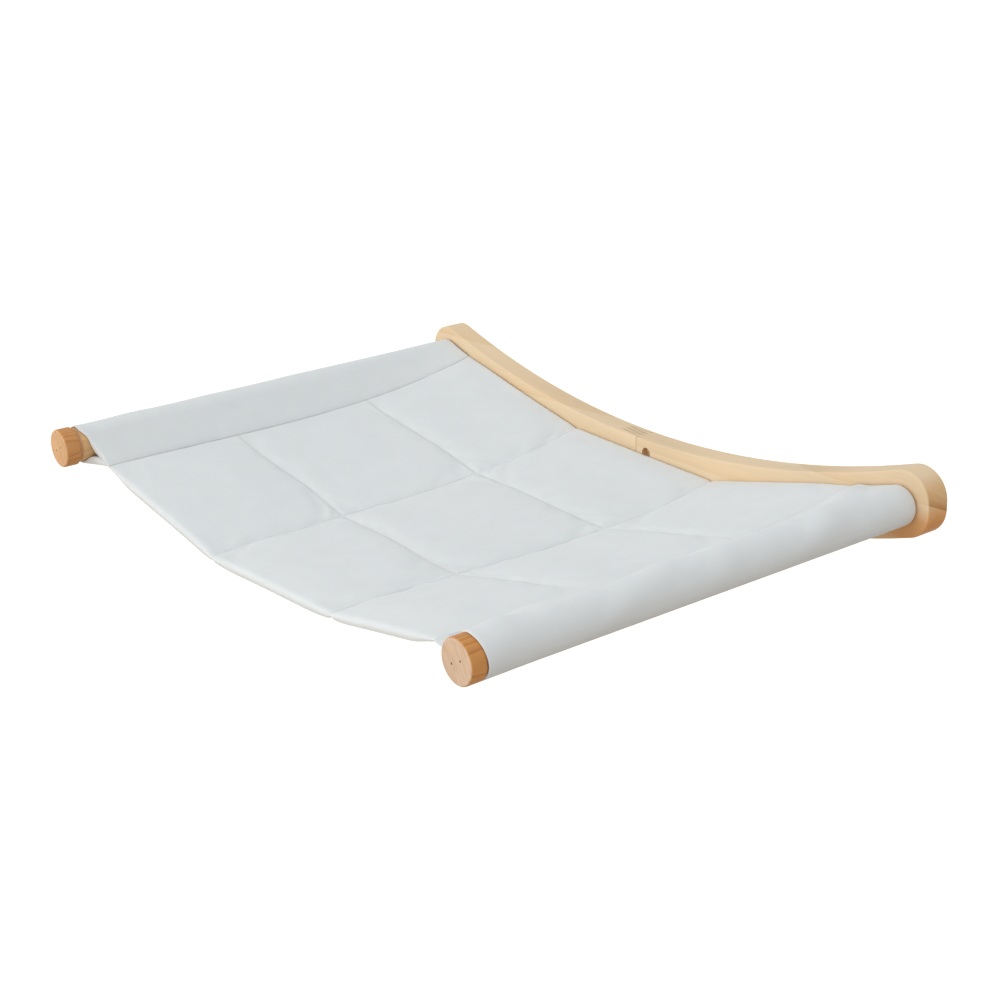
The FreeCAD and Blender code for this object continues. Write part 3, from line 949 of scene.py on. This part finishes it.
    def painted_shade_distance(self, across: Array, along: Array) -> Array:
        """Distance from the lines of painted shade, which fade where they cross and at the seams and hems.

        Some stretches carry fainter painted shade than others: they count as a little further away. The
        right seam carries painted shade only near the front, where the pad folds against the sleeve.

        Args:
            across: Distance from each long line, in millimetres.
            along: Distance from each row, in millimetres.

        Returns:
            Distance of each grid point from the nearest line of painted shade, in millimetres.
        """
        nearest_row, nearest_line = along.min(0), across.min(0)
        end = np.minimum(nearest_row, self.form.from_hem(self.y) / MM / self.hem_fade)
        long_gap, row_gap = (CREASE_REACH * (1.0 - smooth_step(away, *self.crossing_fade))
                             for away in (end, nearest_line))
        long_lines = across[1:3] + np.array(self.long_faint)[:, cell_of(self.v)]
        rows = nearest_row + np.array(self.row_faint)[cell_of(self.u)]
        quilted = np.minimum(long_lines.min(0) + long_gap, rows + row_gap)
        return np.minimum(quilted, across[3] + CREASE_REACH * self.form.unfolded(self.y))

    def build(self, weave: Tree) -> Piece:
        """Makes the pad, swells it, adds its puckers and dresses it.

        Args:
            weave: The weave node group.

        Returns:
            The pad.
        """
        sheets = self.start_shape()
        rows, cols = self.u.shape
        top_index = np.arange(rows * cols).reshape(rows, cols)
        low_index = top_index.copy()
        low_index[1:-1, 1:-1] = rows * cols + np.arange((rows - 2) * (cols - 2)).reshape(rows - 2, cols - 2)
        inside = sheets[Face.BOTTOM][1:-1, 1:-1]
        points = np.concatenate([sheets[Face.TOP].reshape(-1, 3), inside.reshape(-1, 3)])
        quads = np.concatenate([quads_of(top_index)[:, ::-1], quads_of(low_index)])
        pad = surface_object("quilted_pad", points, quads, points[:, :2])
        across, along = self.line_distances()
        spread = both_faces(np.minimum(across.min(0), along.min(0)))
        apart = both_faces(np.maximum(across.min(0), along.min(0)))
        # The cloth's finish paints shade along the sewn lines by this distance
        store_line_shade(pad, both_faces(self.painted_shade_distance(across, along)))
        row = np.arange(rows)
        in_hem = np.minimum(row, row[::-1]) < self.hem_rows
        points = self.swell(pad, points, spread, both_faces(np.repeat(in_hem[:, None], cols, axis=1)))
        points = self.pucker(points, spread, apart, rows * cols)
        pad.data.vertices.foreach_set("co", points.astype(np.float32).ravel())
        pad.data.update()
        self.points = {Face.TOP: points[top_index], Face.BOTTOM: points[low_index]}
        finish_cloth(pad, self.finish.material(weave), "sling_top_cloth", "sling_batting",
                     "sling_bottom_cloth", "sling_back_hem", "sling_front_hem")
        return pad

    def swell(self, pad: Piece, points: Array, spread: Array, in_hem: Array) -> Array:
        """Runs the cloth simulation and returns its points.

        The sewn lines and the hems are held, the air inside pushes outward, and the cloth is a
        little larger than its start shape. No point moves further than the reach.

        Args:
            pad: The pad, still in its start shape.
            points: The start shape's points.
            spread: Distance of each point from the nearest sewn line, in millimetres.
            in_hem: Whether each point belongs to a hem.

        Returns:
            The swollen points.
        """
        group = pad.vertex_groups.new(name="sewn")
        group.add(np.flatnonzero((spread < self.held_near) | in_hem).tolist(), 1.0, "REPLACE")
        cloth = pad.modifiers.new("cloth", "CLOTH")
        cloth.settings.quality = self.quality
        cloth.settings.mass = self.mass
        cloth.settings.use_pressure = True
        cloth.settings.uniform_pressure_force = self.pressure
        cloth.settings.effector_weights.gravity = 0.0
        cloth.settings.vertex_group_mass = group.name
        cloth.settings.shrink_min = -self.slack
        cloth.collision_settings.use_collision = False
        cloth.collision_settings.use_self_collision = False
        cloth.point_cache.frame_start = 1
        cloth.point_cache.frame_end = self.frames
        scene = bpy.context.scene
        for frame_number in range(1, self.frames + 1):
            scene.frame_set(frame_number)
        shown = pad.evaluated_get(bpy.context.evaluated_depsgraph_get())
        moved = np.zeros(len(points) * 3, np.float32)
        shown.data.vertices.foreach_get("co", moved)
        pad.modifiers.remove(cloth)
        pad.vertex_groups.remove(group)
        scene.frame_set(1)
        step = moved.reshape(-1, 3) - points
        far = np.linalg.norm(step, axis=1, keepdims=True)
        LOG.info("pad swell: mean %.2f mm, most %.2f mm", far.mean() / MM, far.max() / MM)
        x, y = points[:, 0], points[:, 1]
        edge = np.minimum(self.form.from_hem(y), self.form.from_seam(x, y))
        calm = smooth_step(edge, 0.0, self.calm_edge)[:, None]
        return points + step * calm * np.minimum(1.0, self.reach / np.maximum(far, 1e-9))

    def pucker(self, points: Array, spread: Array, apart: Array, top_count: int) -> Array:
        """Adds the small gathers beside the sewn lines and the soft unevenness of the cells.

        With n the distance at which a gather is strongest, a gather is a ripple times
        (d / n) exp(1 - d / n), and it dies away towards a crossing. The unevenness is a slow ripple
        that is nothing on the lines. The lines themselves sway a little, by sines.

        Args:
            points: The swollen points.
            spread: Distance of each point from the nearest sewn line, in millimetres.
            apart: Distance of each point from the nearest crossing of two lines, in millimetres.
            top_count: How many of the points belong to the top sheet.

        Returns:
            The finished points.
        """
        x, y = points[:, 0], points[:, 1]
        free = smooth_step(self.form.from_hem(y), 0.0, self.sway_hem)
        near = spread / self.gather_near
        beside = near * np.exp(1.0 - near) * smooth_step(apart, *self.gather_fade)
        gather = self.gather * beside * ripple(x, y, self.gather_count, self.gather_waves, self.gather_seed)
        slow = ripple(x, y, self.uneven_count, self.uneven_waves, self.uneven_seed)
        uneven = self.uneven * smooth_step(spread, 0.0, self.uneven_near) * slow
        face = np.where(np.arange(len(points)) < top_count, 1.0, -1.0)
        sway_x, sway_y = (size * np.sin(along * TURN / wave + phase) * free for along, size, wave, phase
                          in zip((y, x), self.sway, self.sway_waves, self.sway_phase))
        inside = smooth_step(self.form.from_seam(x, y), *self.sway_seam)
        lift = (gather + uneven) * free * face
        return points + np.stack([sway_x * inside, sway_y, lift], axis=-1)


@dataclass
class Sleeve:
    """A tube of single cloth, sewn to the pad's side seam, that a rod slides into.

    The loop leaves the seam, runs straight to the rod, round it, and straight back to the seam.
    Its front edge ends in a rolled lip, which is thicker beside the seam.
    """

    side: Side
    form: SlingForm
    finish: ClothFinish
    mouth: tuple[Numbers, Numbers]
    flare: float
    flare_angle: float
    slack: float
    upper_hang: float
    lower_hang: float
    pocket: float
    roll: Numbers
    seam_hang: float
    # How faint the painted shade along the seam edge is near the front, in millimetres
    seam_shade_faint: float
    radius: float = 13.7 * MM
    hem_lift: float = 0.4 * MM
    back_y: float = -19.2 * MM
    rod_x: float = 242.5 * MM
    rod_z: float = 26.0 * MM
    rod_room: float = 12.75 * MM
    cloth: float = 0.9 * MM
    end_share: float = 0.3
    end_width: float = 8.0 * MM
    hem_edge: Numbers = mm(1.5, 6.0)
    flare_reach: float = 40.0 * MM
    lip_reach: float = 1.4 * MM
    lip_edge: Numbers = mm(3.0, 12.0)
    lip_rows: int = 4
    tuck: float = 3.0 * MM
    upper_sewn: float = -0.15 * MM
    lower_sewn: float = -0.3 * MM
    mouth_y: float = -355.0 * MM
    mouth_reach: float = 70.0 * MM
    pocket_y: float = -318.0 * MM
    pocket_reach: float = 16.0 * MM
    seam_wave: float = 130.0 * MM
    crease_waves: Numbers = mm(35.0, 90.0)
    crease_count: int = 6
    crease_seed: int = 21
    crease_lean: Numbers = (0.5, 1.2)
    crease_start: Numbers = mm(2.0, 9.0)
    crease_end: Numbers = (0.44, 0.58)
    crease_dip: float = -0.1
    row_easing: float = 0.7
    rows: int = 84
    line_points: int = 16
    arc_points: int = 44

    def runs(self) -> tuple[Array, Array]:
        """How far round the rod each point of the loop is, and how far from the seam to the rod.

        Returns:
            Two shares from 0 to 1 for each point.
        """
        step = np.linspace(0.0, 1.0, self.line_points + 1)[:-1]
        turned = np.concatenate([0.0 * step, np.linspace(0.0, 1.0, self.arc_points), 0.0 * step + 1.0])
        return turned, np.concatenate([step, np.ones(self.arc_points), step[::-1]])

    def loop(self, y: Array, radius: Array) -> Array:
        """The loop's points in the XZ plane.

        With D the distance from the rod's axis to the seam and r the radius, the two straight
        runs touch the circle at the seam's angle plus and minus acos(r / D). With t the share from
        the seam to the rod, the upper run hangs below its straight line by 6.75 t (1 - t)^2 beside
        the seam, most of all in a pocket behind the mouth, and by sin(pi t) at the mouth.

        Args:
            y: Depth of each point, rows by loop.
            radius: Radius round the rod at each point, rows by loop.

        Returns:
            X on the right-hand side and Z of each point (rows, loop, 2).
        """
        seam = 0 if self.side is Side.LEFT else 3
        across = self.side.value * self.form.line_x(seam, y) - self.rod_x
        rise = self.form.line_z(seam, y) - self.rod_z
        toward = np.arctan2(rise, across) % TURN
        spread = np.arccos(radius / np.hypot(across, rise))
        first, last = toward - spread, toward + spread - TURN
        turned, reached = self.runs()
        turn = first + (last - first) * turned
        ring = radius[..., None] * np.stack([np.cos(turn), np.sin(turn)], axis=-1)
        is_upper = turned < 0.5
        below = np.where(is_upper, self.upper_sewn, self.lower_sewn)
        sewn = np.stack([across - self.tuck, rise + below], axis=-1)
        bow = np.sin(math.pi * reached)
        beside = 6.75 * reached * (1.0 - reached) ** 2
        at_mouth = 1.0 - smooth_step(y - self.mouth_y, 0.0, self.mouth_reach)
        behind = np.exp(-((y - self.pocket_y) / self.pocket_reach) ** 2)
        wavy = self.seam_hang * (1.0 + np.sin(y * TURN / self.seam_wave))
        upper = (wavy + self.pocket * behind) * beside + self.upper_hang * at_mouth * bow
        path = sewn + (ring - sewn) * reached[:, None]
        path[..., 1] -= np.where(is_upper, upper, self.lower_hang * bow)
        return path + np.array([self.rod_x, self.rod_z])

    def lip_thickness(self) -> Array:
        """How much thicker the cloth is at the mouth: most on the two runs, half way to the rod.

        With t the share from the seam to the rod, the runs thicken by min(t / 0.4, 1) up to half
        way, and the thickening dies out on the rod.

        Returns:
            One length per point of the loop.
        """
        turned, reached = self.runs()
        full = np.minimum(reached / 0.4, 1.0) * (1.0 - smooth_step(reached, 0.6, 1.0))
        return np.where(turned < 0.5, self.roll[0], self.roll[1]) * full

    def surface(self, plain: Array, around: Array, front: Array) -> Array:
        """The sleeve's points: the loop carried along the depth, with a slanted front end.

        The outer sheet carries the creases and the doubled hem, the inner sheet lies a cloth's
        thickness inside it and clear of the rod, and a half round lip joins the two at the mouth.

        Args:
            plain: The loop half way along the depth.
            around: Distance of each point of that loop from its start.
            front: Y of the mouth at each point of the loop.

        Returns:
            Points (rows, loop, 3): outer sheet from the back, lip, inner sheet from the front.
        """
        angle = np.arctan2(plain[:, 1] - self.rod_z, plain[:, 0] - self.rod_x)
        open_share = 0.5 + 0.5 * np.cos(angle - self.flare_angle)
        share = np.linspace(0.0, 1.0, self.rows)
        share = share + self.row_easing * share * (1.0 - share) * share
        y = self.back_y + (front - self.back_y) * share[:, None]
        edge = y - front
        opened = self.flare * open_share * (1.0 - smooth_step(edge, 0.0, self.flare_reach))
        path = self.loop(y, self.radius + opened)
        tangent = np.gradient(path, axis=1)
        tangent /= np.linalg.norm(tangent, axis=-1, keepdims=True)
        normal = np.stack([-tangent[..., 1], tangent[..., 0]], axis=-1)
        hem = self.hem_lift * open_share * (1.0 - smooth_step(edge, *self.hem_edge))
        along = np.repeat(around[None], self.rows, axis=0)
        seed = self.crease_seed + self.side.value
        crease = ripple(along, y, self.crease_count, self.crease_waves, seed, self.crease_lean)
        from_end = np.minimum(around, around[-1] - around)
        upper = 1.0 - smooth_step(around / around[-1], *self.crease_end)
        free = smooth_step(from_end, *self.crease_start) * upper
        lift = self.slack * free * np.maximum(crease, self.crease_dip)
        outer = path + normal * (lift + hem)[..., None]
        ends = smooth_step(from_end, 0.0, self.end_width)
        wall = self.cloth * (self.end_share + (1.0 - self.end_share) * ends) + hem
        wall = wall + self.lip_thickness() * (1.0 - smooth_step(edge, *self.lip_edge))
        inner = outer - normal * wall[..., None]
        away = inner - np.array([self.rod_x, self.rod_z])
        reach = np.linalg.norm(away, axis=-1, keepdims=True)
        inner = inner + away * np.maximum(self.rod_room / reach - 1.0, 0.0)
        sheets = [np.stack([p[..., 0] * self.side.value, y, p[..., 1]], axis=-1) for p in (outer, inner)]
        bend = math.pi * (np.arange(self.lip_rows) + 1.0)[:, None, None] / (self.lip_rows + 1.0)
        middle, half = 0.5 * (sheets[0][-1] + sheets[1][-1]), 0.5 * (sheets[0][-1] - sheets[1][-1])
        lip = middle + half * np.cos(bend)
        lip[..., 1] -= np.minimum(np.linalg.norm(half, axis=-1), self.lip_reach) * np.sin(bend[..., 0])
        return np.concatenate([sheets[0], lip, sheets[1][::-1]])

    def build(self, weave: Tree) -> Piece:
        """Makes the sleeve as a closed sheet and dresses it.

        Args:
            weave: The weave node group.

        Returns:
            The sleeve.
        """
        shares, fronts = np.array(self.mouth)
        level = np.full((1, 2 * self.line_points + self.arc_points), 0.5 * (self.back_y + fronts.min()))
        plain = self.loop(level, np.full_like(level, self.radius))[0]
        around = run_along(plain)
        front = np.interp(around / around[-1], shares, fronts)
        points = self.surface(plain, around, front)
        index = np.arange(points.size // 3).reshape(points.shape[:2])
        fold = len(index) // 2
        first_end, last_end = (np.stack([index[:fold, k], index[fold:, k][::-1]]) for k in (0, -1))
        back = np.stack([index[-1], index[0]])
        quads = np.concatenate([*map(quads_of, (index, back, first_end)), quads_of(last_end)[:, ::-1]])
        if self.side is Side.RIGHT:
            quads = quads[:, ::-1]
        name = f"{self.side.label}_rod_sleeve"
        spread = np.repeat(around[None], len(points), axis=0)
        uv = np.stack([spread, points[..., 1]], axis=-1).reshape(-1, 2)
        piece = surface_object(name, points.reshape(-1, 3), quads, uv)
        # Painted shade along the sleeve's seam edge, only near the front where the pad folds against the
        # sleeve
        shown = self.form.unfolded(points[..., 1])
        store_line_shade(piece, spread / MM + self.seam_shade_faint + (CREASE_REACH - self.seam_shade_faint) * shown)
        finish_cloth(piece, self.finish.material(weave), f"{self.side.label}_sleeve")
        return piece


@dataclass
class StitchRows:
    """The thread of the quilting lines, as a row of short raised stitches on both faces."""

    pad: QuiltedPad
    finish: ThreadFinish
    pitch: float = 3.6 * MM
    length: float = 2.9 * MM
    radius: float = 0.2 * MM
    arch: float = 0.4 * MM
    dip: float = 0.25 * MM
    taper: float = 0.55
    rings: int = 4
    sides: int = 6

    def polylines(self) -> list[tuple[Array, float]]:
        """The pad's sewn lines on both faces.

        Returns:
            For each line, its points and the direction that its thread stands up in.
        """
        lines = []
        columns, rows = ([int(np.argmin(np.abs(line - k))) for k in (1.0, 2.0)]
                         for line in (self.pad.u[0], self.pad.v[:, 0]))
        ends = self.pad.hem_rows
        for face in Face:
            sheet = self.pad.points[face]
            lines += [(sheet[ends:-ends, k], float(face.value)) for k in columns]
            lines += [(sheet[k, 1:-1], float(face.value)) for k in rows]
        return lines

    def stitches(self, line: Array, up: float) -> Array:
        """The tubes of one line's stitches.

        A stitch is a ring of points carried along a low arch: its middle stands proud of the cloth
        and its ends dip into it. The ends are narrower than the middle.

        Args:
            line: Points along the sewn line.
            up: 1 where the thread stands up, -1 where it hangs down.

        Returns:
            Points (stitches, rings, sides, 3).
        """
        along = run_along(line)
        count = int(along[-1] / self.pitch)
        start = (np.arange(count) + 0.5) * along[-1] / count
        share = np.linspace(-0.5, 0.5, self.rings)
        at = start[:, None] + share * self.length
        centre = np.stack([np.interp(at, along, line[:, k]) for k in range(3)], axis=-1)
        centre[..., 2] += up * ((1.0 - (2.0 * share) ** 2) * self.arch - self.dip)
        tangent = centre[:, -1] - centre[:, 0]
        tangent /= np.linalg.norm(tangent, axis=1, keepdims=True)
        sideways = np.cross(tangent, np.array([0.0, 0.0, 1.0]))
        sideways /= np.linalg.norm(sideways, axis=1, keepdims=True)
        upright = np.cross(sideways, tangent)
        turn = np.arange(self.sides) * TURN / self.sides
        size = self.radius * (1.0 - self.taper * (2.0 * np.abs(share)) ** 3)
        aside, upward = np.cos(turn)[:, None], np.sin(turn)[:, None]
        ring = aside * sideways[:, None, None] + upward * upright[:, None, None]
        return centre[:, :, None] + ring * size[None, :, None, None]

    def build(self) -> Piece:
        """Makes all the stitches as one piece and dresses them.

        Returns:
            The stitches.
        """
        tubes = np.concatenate([self.stitches(line, up) for line, up in self.polylines()])
        index = np.arange(tubes.size // 3).reshape(tubes.shape[:3])
        wrapped = np.concatenate([index, index[:, :, :1]], axis=2)
        walls = np.stack([wrapped[:, :-1, :-1], wrapped[:, 1:, :-1], wrapped[:, 1:, 1:], wrapped[:, :-1, 1:]],
                         axis=-1).reshape(-1, 4)
        halves = ([0, 1, 2, 3], [3, 4, 5, 0])
        ends = [index[:, 0][:, half] for half in halves] + [index[:, -1][:, half[::-1]] for half in halves]
        piece = surface_object("quilt_stitches", tubes.reshape(-1, 3), np.concatenate([walls, *ends]))
        dress(piece, self.finish.material())
        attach(piece, "wall_frame")
        return piece


@dataclass
class WallBar:
    """The two finger-jointed boards of the sagging bar, which keep the solid model's shape."""

    left: TimberFinish
    right: TimberFinish

    def dress(self, nodes: dict, grain: Tree) -> None:
        """Gives each board its own cut of pine."""
        dress(nodes["bracket_left_board"], self.left.material(grain))
        dress(nodes["bracket_right_board"], self.right.material(grain))


@dataclass
class RodSet:
    """One rod with its end cap, brads, insert, bolt and washer."""

    side: Side
    rod: TimberFinish
    cap: TimberFinish

    def dress(self, nodes: dict, grain: Tree, steel: bpy.types.Material, brass: bpy.types.Material,
              brad: bpy.types.Material) -> None:
        """Gives the rod's pieces their finishes.

        Args:
            nodes: The solid model's objects by name.
            grain: The timber node group.
            steel: Finish of the bolt and its washer.
            brass: Finish of the threaded insert.
            brad: Finish of the brads.
        """
        looks = {"rod": self.rod.material(grain), "end_cap": self.cap.material(grain), "cap_brads": brad,
                 "rod_insert": brass, "bolt": steel, "bolt_washer": steel}
        for piece, look in looks.items():
            dress(nodes[f"{self.side.label}_{piece}"], look)


@dataclass
class Studio:
    """A pale floor far below the hammock, soft light, and the camera."""

    floor_z: float = -1.0
    floor_half: float = 30.0
    ambient: float = 0.8
    floor_glow: float = 0.78
    floor_colour: Colour = (0.50, 0.44, 0.38)
    sky_colour: Colour = (0.98, 0.995, 1.0)
    lamp_colour: Colour = (1.0, 0.975, 0.93)
    lamp_size: float = 1.8
    lamp_aim: Triple = (0.0, -0.18, 0.0)
    key_place: Triple = (-0.5, -2.4, 0.6)
    key_power: float = 22.0
    fill_place: Triple = (2.0, -1.4, 0.9)
    fill_power: float = 6.0
    camera_place: Triple = (0.97632, -0.88891, 0.44767)
    yaw: float = math.radians(53.041)
    pitch: float = math.radians(20.218)
    roll: float = math.radians(-2.096)
    sensor: float = 36.0
    lens: float = 67.2
    far: float = 200.0

    def seen_rays(self, sheet: NodeSheet) -> Socket:
        """Tells the rays that see the stage from those that only light it.

        Args:
            sheet: The nodes of a world or a material.

        Returns:
            1 for camera, glossy and transmission rays, and 0 for the rest.
        """
        path = sheet.add("ShaderNodeLightPath").outputs
        mirror = sheet.math("MAXIMUM", path["Is Glossy Ray"], path["Is Transmission Ray"])
        return sheet.math("MAXIMUM", path["Is Camera Ray"], mirror)

    def build_world(self) -> None:
        """A surround that is white where it is seen, and a little cool at the ambient strength as light."""
        world = bpy.data.worlds.new("surround")
        sheet = blank_sheet(world)
        seen = self.seen_rays(sheet)
        strength = sheet.ramp(seen, 0.0, 1.0, self.ambient, 1.0)
        colour = sheet.blend(seen, rgba(self.sky_colour), (1.0, 1.0, 1.0, 1.0))
        back = sheet.add("ShaderNodeBackground", {"Color": colour, "Strength": strength})
        sheet.add("ShaderNodeOutputWorld", {"Surface": back.outputs[0]})
        bpy.context.scene.world = world

    def build_floor(self) -> Piece:
        """A white floor that keeps the object's shadow.

        Returns:
            The floor.
        """
        line = np.linspace(-self.floor_half, self.floor_half, 3)
        x, y = np.meshgrid(line, line)
        points = np.stack([x, y, np.full_like(x, self.floor_z)], axis=-1).reshape(-1, 3)
        floor = surface_object("floor", points, quads_of(np.arange(9).reshape(3, 3)))
        material = bpy.data.materials.new("floor_white")
        sheet = blank_sheet(material)
        matt = sheet.add("ShaderNodeBsdfDiffuse", {"Color": rgba(self.floor_colour)})
        strength = sheet.math("MULTIPLY", self.seen_rays(sheet), self.floor_glow)
        glow = sheet.add("ShaderNodeEmission", {"Strength": strength})
        both = sheet.add("ShaderNodeAddShader", {0: matt.outputs[0], 1: glow.outputs[0]})
        sheet.add("ShaderNodeOutputMaterial", {"Surface": both.outputs[0]})
        dress(floor, material)
        return floor

    def build_lamp(self, name: str, place: Triple, power: float) -> None:
        """A large soft lamp that is aimed at the hammock.

        Args:
            name: Name of the lamp.
            place: Where it stands.
            power: Its strength in watts.
        """
        lamp = bpy.data.lights.new(name, "AREA")
        lamp.energy = power
        lamp.color = self.lamp_colour
        lamp.size = self.lamp_size
        holder = bpy.data.objects.new(name, lamp)
        holder.location = place
        aim = Vector(self.lamp_aim) - Vector(place)
        holder.rotation_euler = aim.to_track_quat("-Z", "Y").to_euler()
        bpy.context.scene.collection.objects.link(holder)

    def build_light(self) -> None:
        """The key lamp in front of the hammock and a weaker one on its right."""
        self.build_lamp("key_lamp", self.key_place, self.key_power)
        self.build_lamp("fill_lamp", self.fill_place, self.fill_power)

    def build_camera(self) -> None:
        """The photograph's camera, turned by yaw, pitch and roll."""
        flat = math.cos(self.pitch)
        forward = Vector((-math.sin(self.yaw) * flat, math.cos(self.yaw) * flat, -math.sin(self.pitch)))
        level = forward.cross(Vector((0.0, 0.0, 1.0))).normalized()
        upright = level.cross(forward)
        right = level * math.cos(self.roll) + upright * math.sin(self.roll)
        top = upright * math.cos(self.roll) - level * math.sin(self.roll)
        camera = bpy.data.cameras.new("photo_camera")
        camera.sensor_width = self.sensor
        camera.lens = self.lens
        camera.clip_end = self.far
        holder = bpy.data.objects.new("photo_camera", camera)
        turn = Matrix((right, top, -forward)).transposed().to_4x4()
        holder.matrix_world = Matrix.Translation(self.camera_place) @ turn
        bpy.context.scene.collection.objects.link(holder)
        bpy.context.scene.camera = holder


# The second colour is the painted shade of the sewn lines
COTTON = ClothFinish("white_cotton", (0.735, 0.765, 0.78), (0.60, 0.615, 0.61))
THREAD = ThreadFinish("white_thread", (0.74, 0.76, 0.77))
JOINT_X = -11.0 * MM
PINE_LEFT = TimberFinish("pine_left_board", GrainAxis.ALONG_X, (0.805, 0.625, 0.415), (0.72, 0.50, 0.28),
                         (0.70, 0.45, 0.23), (0.52, 0.27, 0.11), (0.20, -0.045, 0.0), ring_scale=13.0,
                         wander=0.014, contrast=0.5, end_contrast=1.0, end_fleck=0.15, joint_x=JOINT_X)
# The right board carries painted shade low down on its outer end
PINE_RIGHT = TimberFinish("pine_right_board", GrainAxis.ALONG_X, (0.805, 0.625, 0.42), (0.71, 0.50, 0.28),
                          (0.74, 0.48, 0.25), (0.50, 0.25, 0.10), (0.1926, -0.063, 0.31), ring_scale=12.1,
                          wander=0.012, contrast=0.5, end_contrast=1.0, end_fleck=0.15, joint_x=JOINT_X,
                          heart=(0.95, 0.66, 0.42))
ROD_WOOD = TimberFinish("rod_timber", GrainAxis.ALONG_Y, (0.74, 0.47, 0.24), (0.62, 0.36, 0.15),
                        (0.70, 0.45, 0.25), (0.55, 0.30, 0.14), (0.02, 0.03, 0.0), ring_scale=120.0,
                        end_normal=1)
CAP_LEFT = TimberFinish("cap_timber_left", GrainAxis.ALONG_Y, (0.62, 0.30, 0.11), (0.42, 0.17, 0.05),
                        (0.74, 0.46, 0.25), (0.61, 0.34, 0.16), (0.03, 0.05, 0.0), ring_scale=130.0,
                        end_contrast=0.2, end_fleck=0.8, end_normal=1)
CAP_RIGHT = TimberFinish("cap_timber_right", GrainAxis.ALONG_Y, (0.62, 0.29, 0.09), (0.40, 0.15, 0.04),
                         (0.74, 0.54, 0.39), (0.62, 0.42, 0.28), (0.05, -0.03, 0.2), ring_scale=130.0,
                         end_contrast=0.2, end_fleck=0.8, end_normal=1)
ZINC = MetalFinish("zinc_steel", (0.62, 0.62, 0.63), (0.42, 0.42, 0.44))
BRASS = MetalFinish("insert_brass", (0.74, 0.56, 0.26), (0.52, 0.37, 0.16))
BRAD = MetalFinish("dark_brad", (0.34, 0.20, 0.10), (0.16, 0.09, 0.05), 0.55)

# Shares of the way round each sleeve, and how far forward its mouth is there
LEFT_MOUTH = ((0.0, 0.08, 0.13, 0.23, 0.3, 0.5, 0.77, 0.88, 1.0),
              mm(-344.9, -345.9, -347.9, -351.0, -354.8, -355.0, -354.0, -348.5, -344.5))
RIGHT_MOUTH = ((0.0, 0.3, 0.4, 0.48, 0.54, 0.76, 0.84, 1.0),
               mm(-346.0, -360.0, -360.6, -359.2, -358.2, -358.0, -352.0, -335.0))


def main() -> None:
    """Builds the hammock's looks in order."""
    logging.basicConfig(level=logging.INFO, format="%(name)s: %(message)s")
    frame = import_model()
    nodes = frame["nodes"]
    bpy.context.scene.view_settings.view_transform = "Standard"
    grain, weave = timber_group(), weave_group()
    steel, brass, brad = ZINC.material(), BRASS.material(), BRAD.material()
    studio = Studio()
    studio.build_camera()
    studio.build_world()
    studio.build_light()
    LOG.info("stage: %s", studio.build_floor().name)
    WallBar(PINE_LEFT, PINE_RIGHT).dress(nodes, grain)
    LOG.info("wall bar dressed")
    for side, cap in ((Side.LEFT, CAP_LEFT), (Side.RIGHT, CAP_RIGHT)):
        RodSet(side, ROD_WOOD, cap).dress(nodes, grain, steel, brass, brad)
        LOG.info("%s rod dressed", side.label)
    form = SlingForm()
    pad = QuiltedPad(form, COTTON)
    LOG.info("made %s", pad.build(weave).name)
    left = Sleeve(Side.LEFT, form, COTTON, LEFT_MOUTH, flare=0.1 * MM, flare_angle=math.radians(120.0),
                  slack=0.4 * MM, upper_hang=0.0, lower_hang=0.4 * MM, pocket=0.0, roll=mm(4.5, 4.8),
                  seam_hang=0.3 * MM, seam_shade_faint=CREASE_REACH)
    right = Sleeve(Side.RIGHT, form, COTTON, RIGHT_MOUTH, flare=1.4 * MM, flare_angle=math.radians(72.0),
                   slack=1.5 * MM, upper_hang=4.0 * MM, lower_hang=0.3 * MM, pocket=1.0 * MM,
                   roll=(0.0, 0.0), seam_hang=0.72 * MM, seam_shade_faint=0.2)
    LOG.info("made %s", left.build(weave).name)
    LOG.info("made %s", right.build(weave).name)
    LOG.info("made %s", StitchRows(pad, THREAD).build().name)


if __name__ == "__main__":
    main()
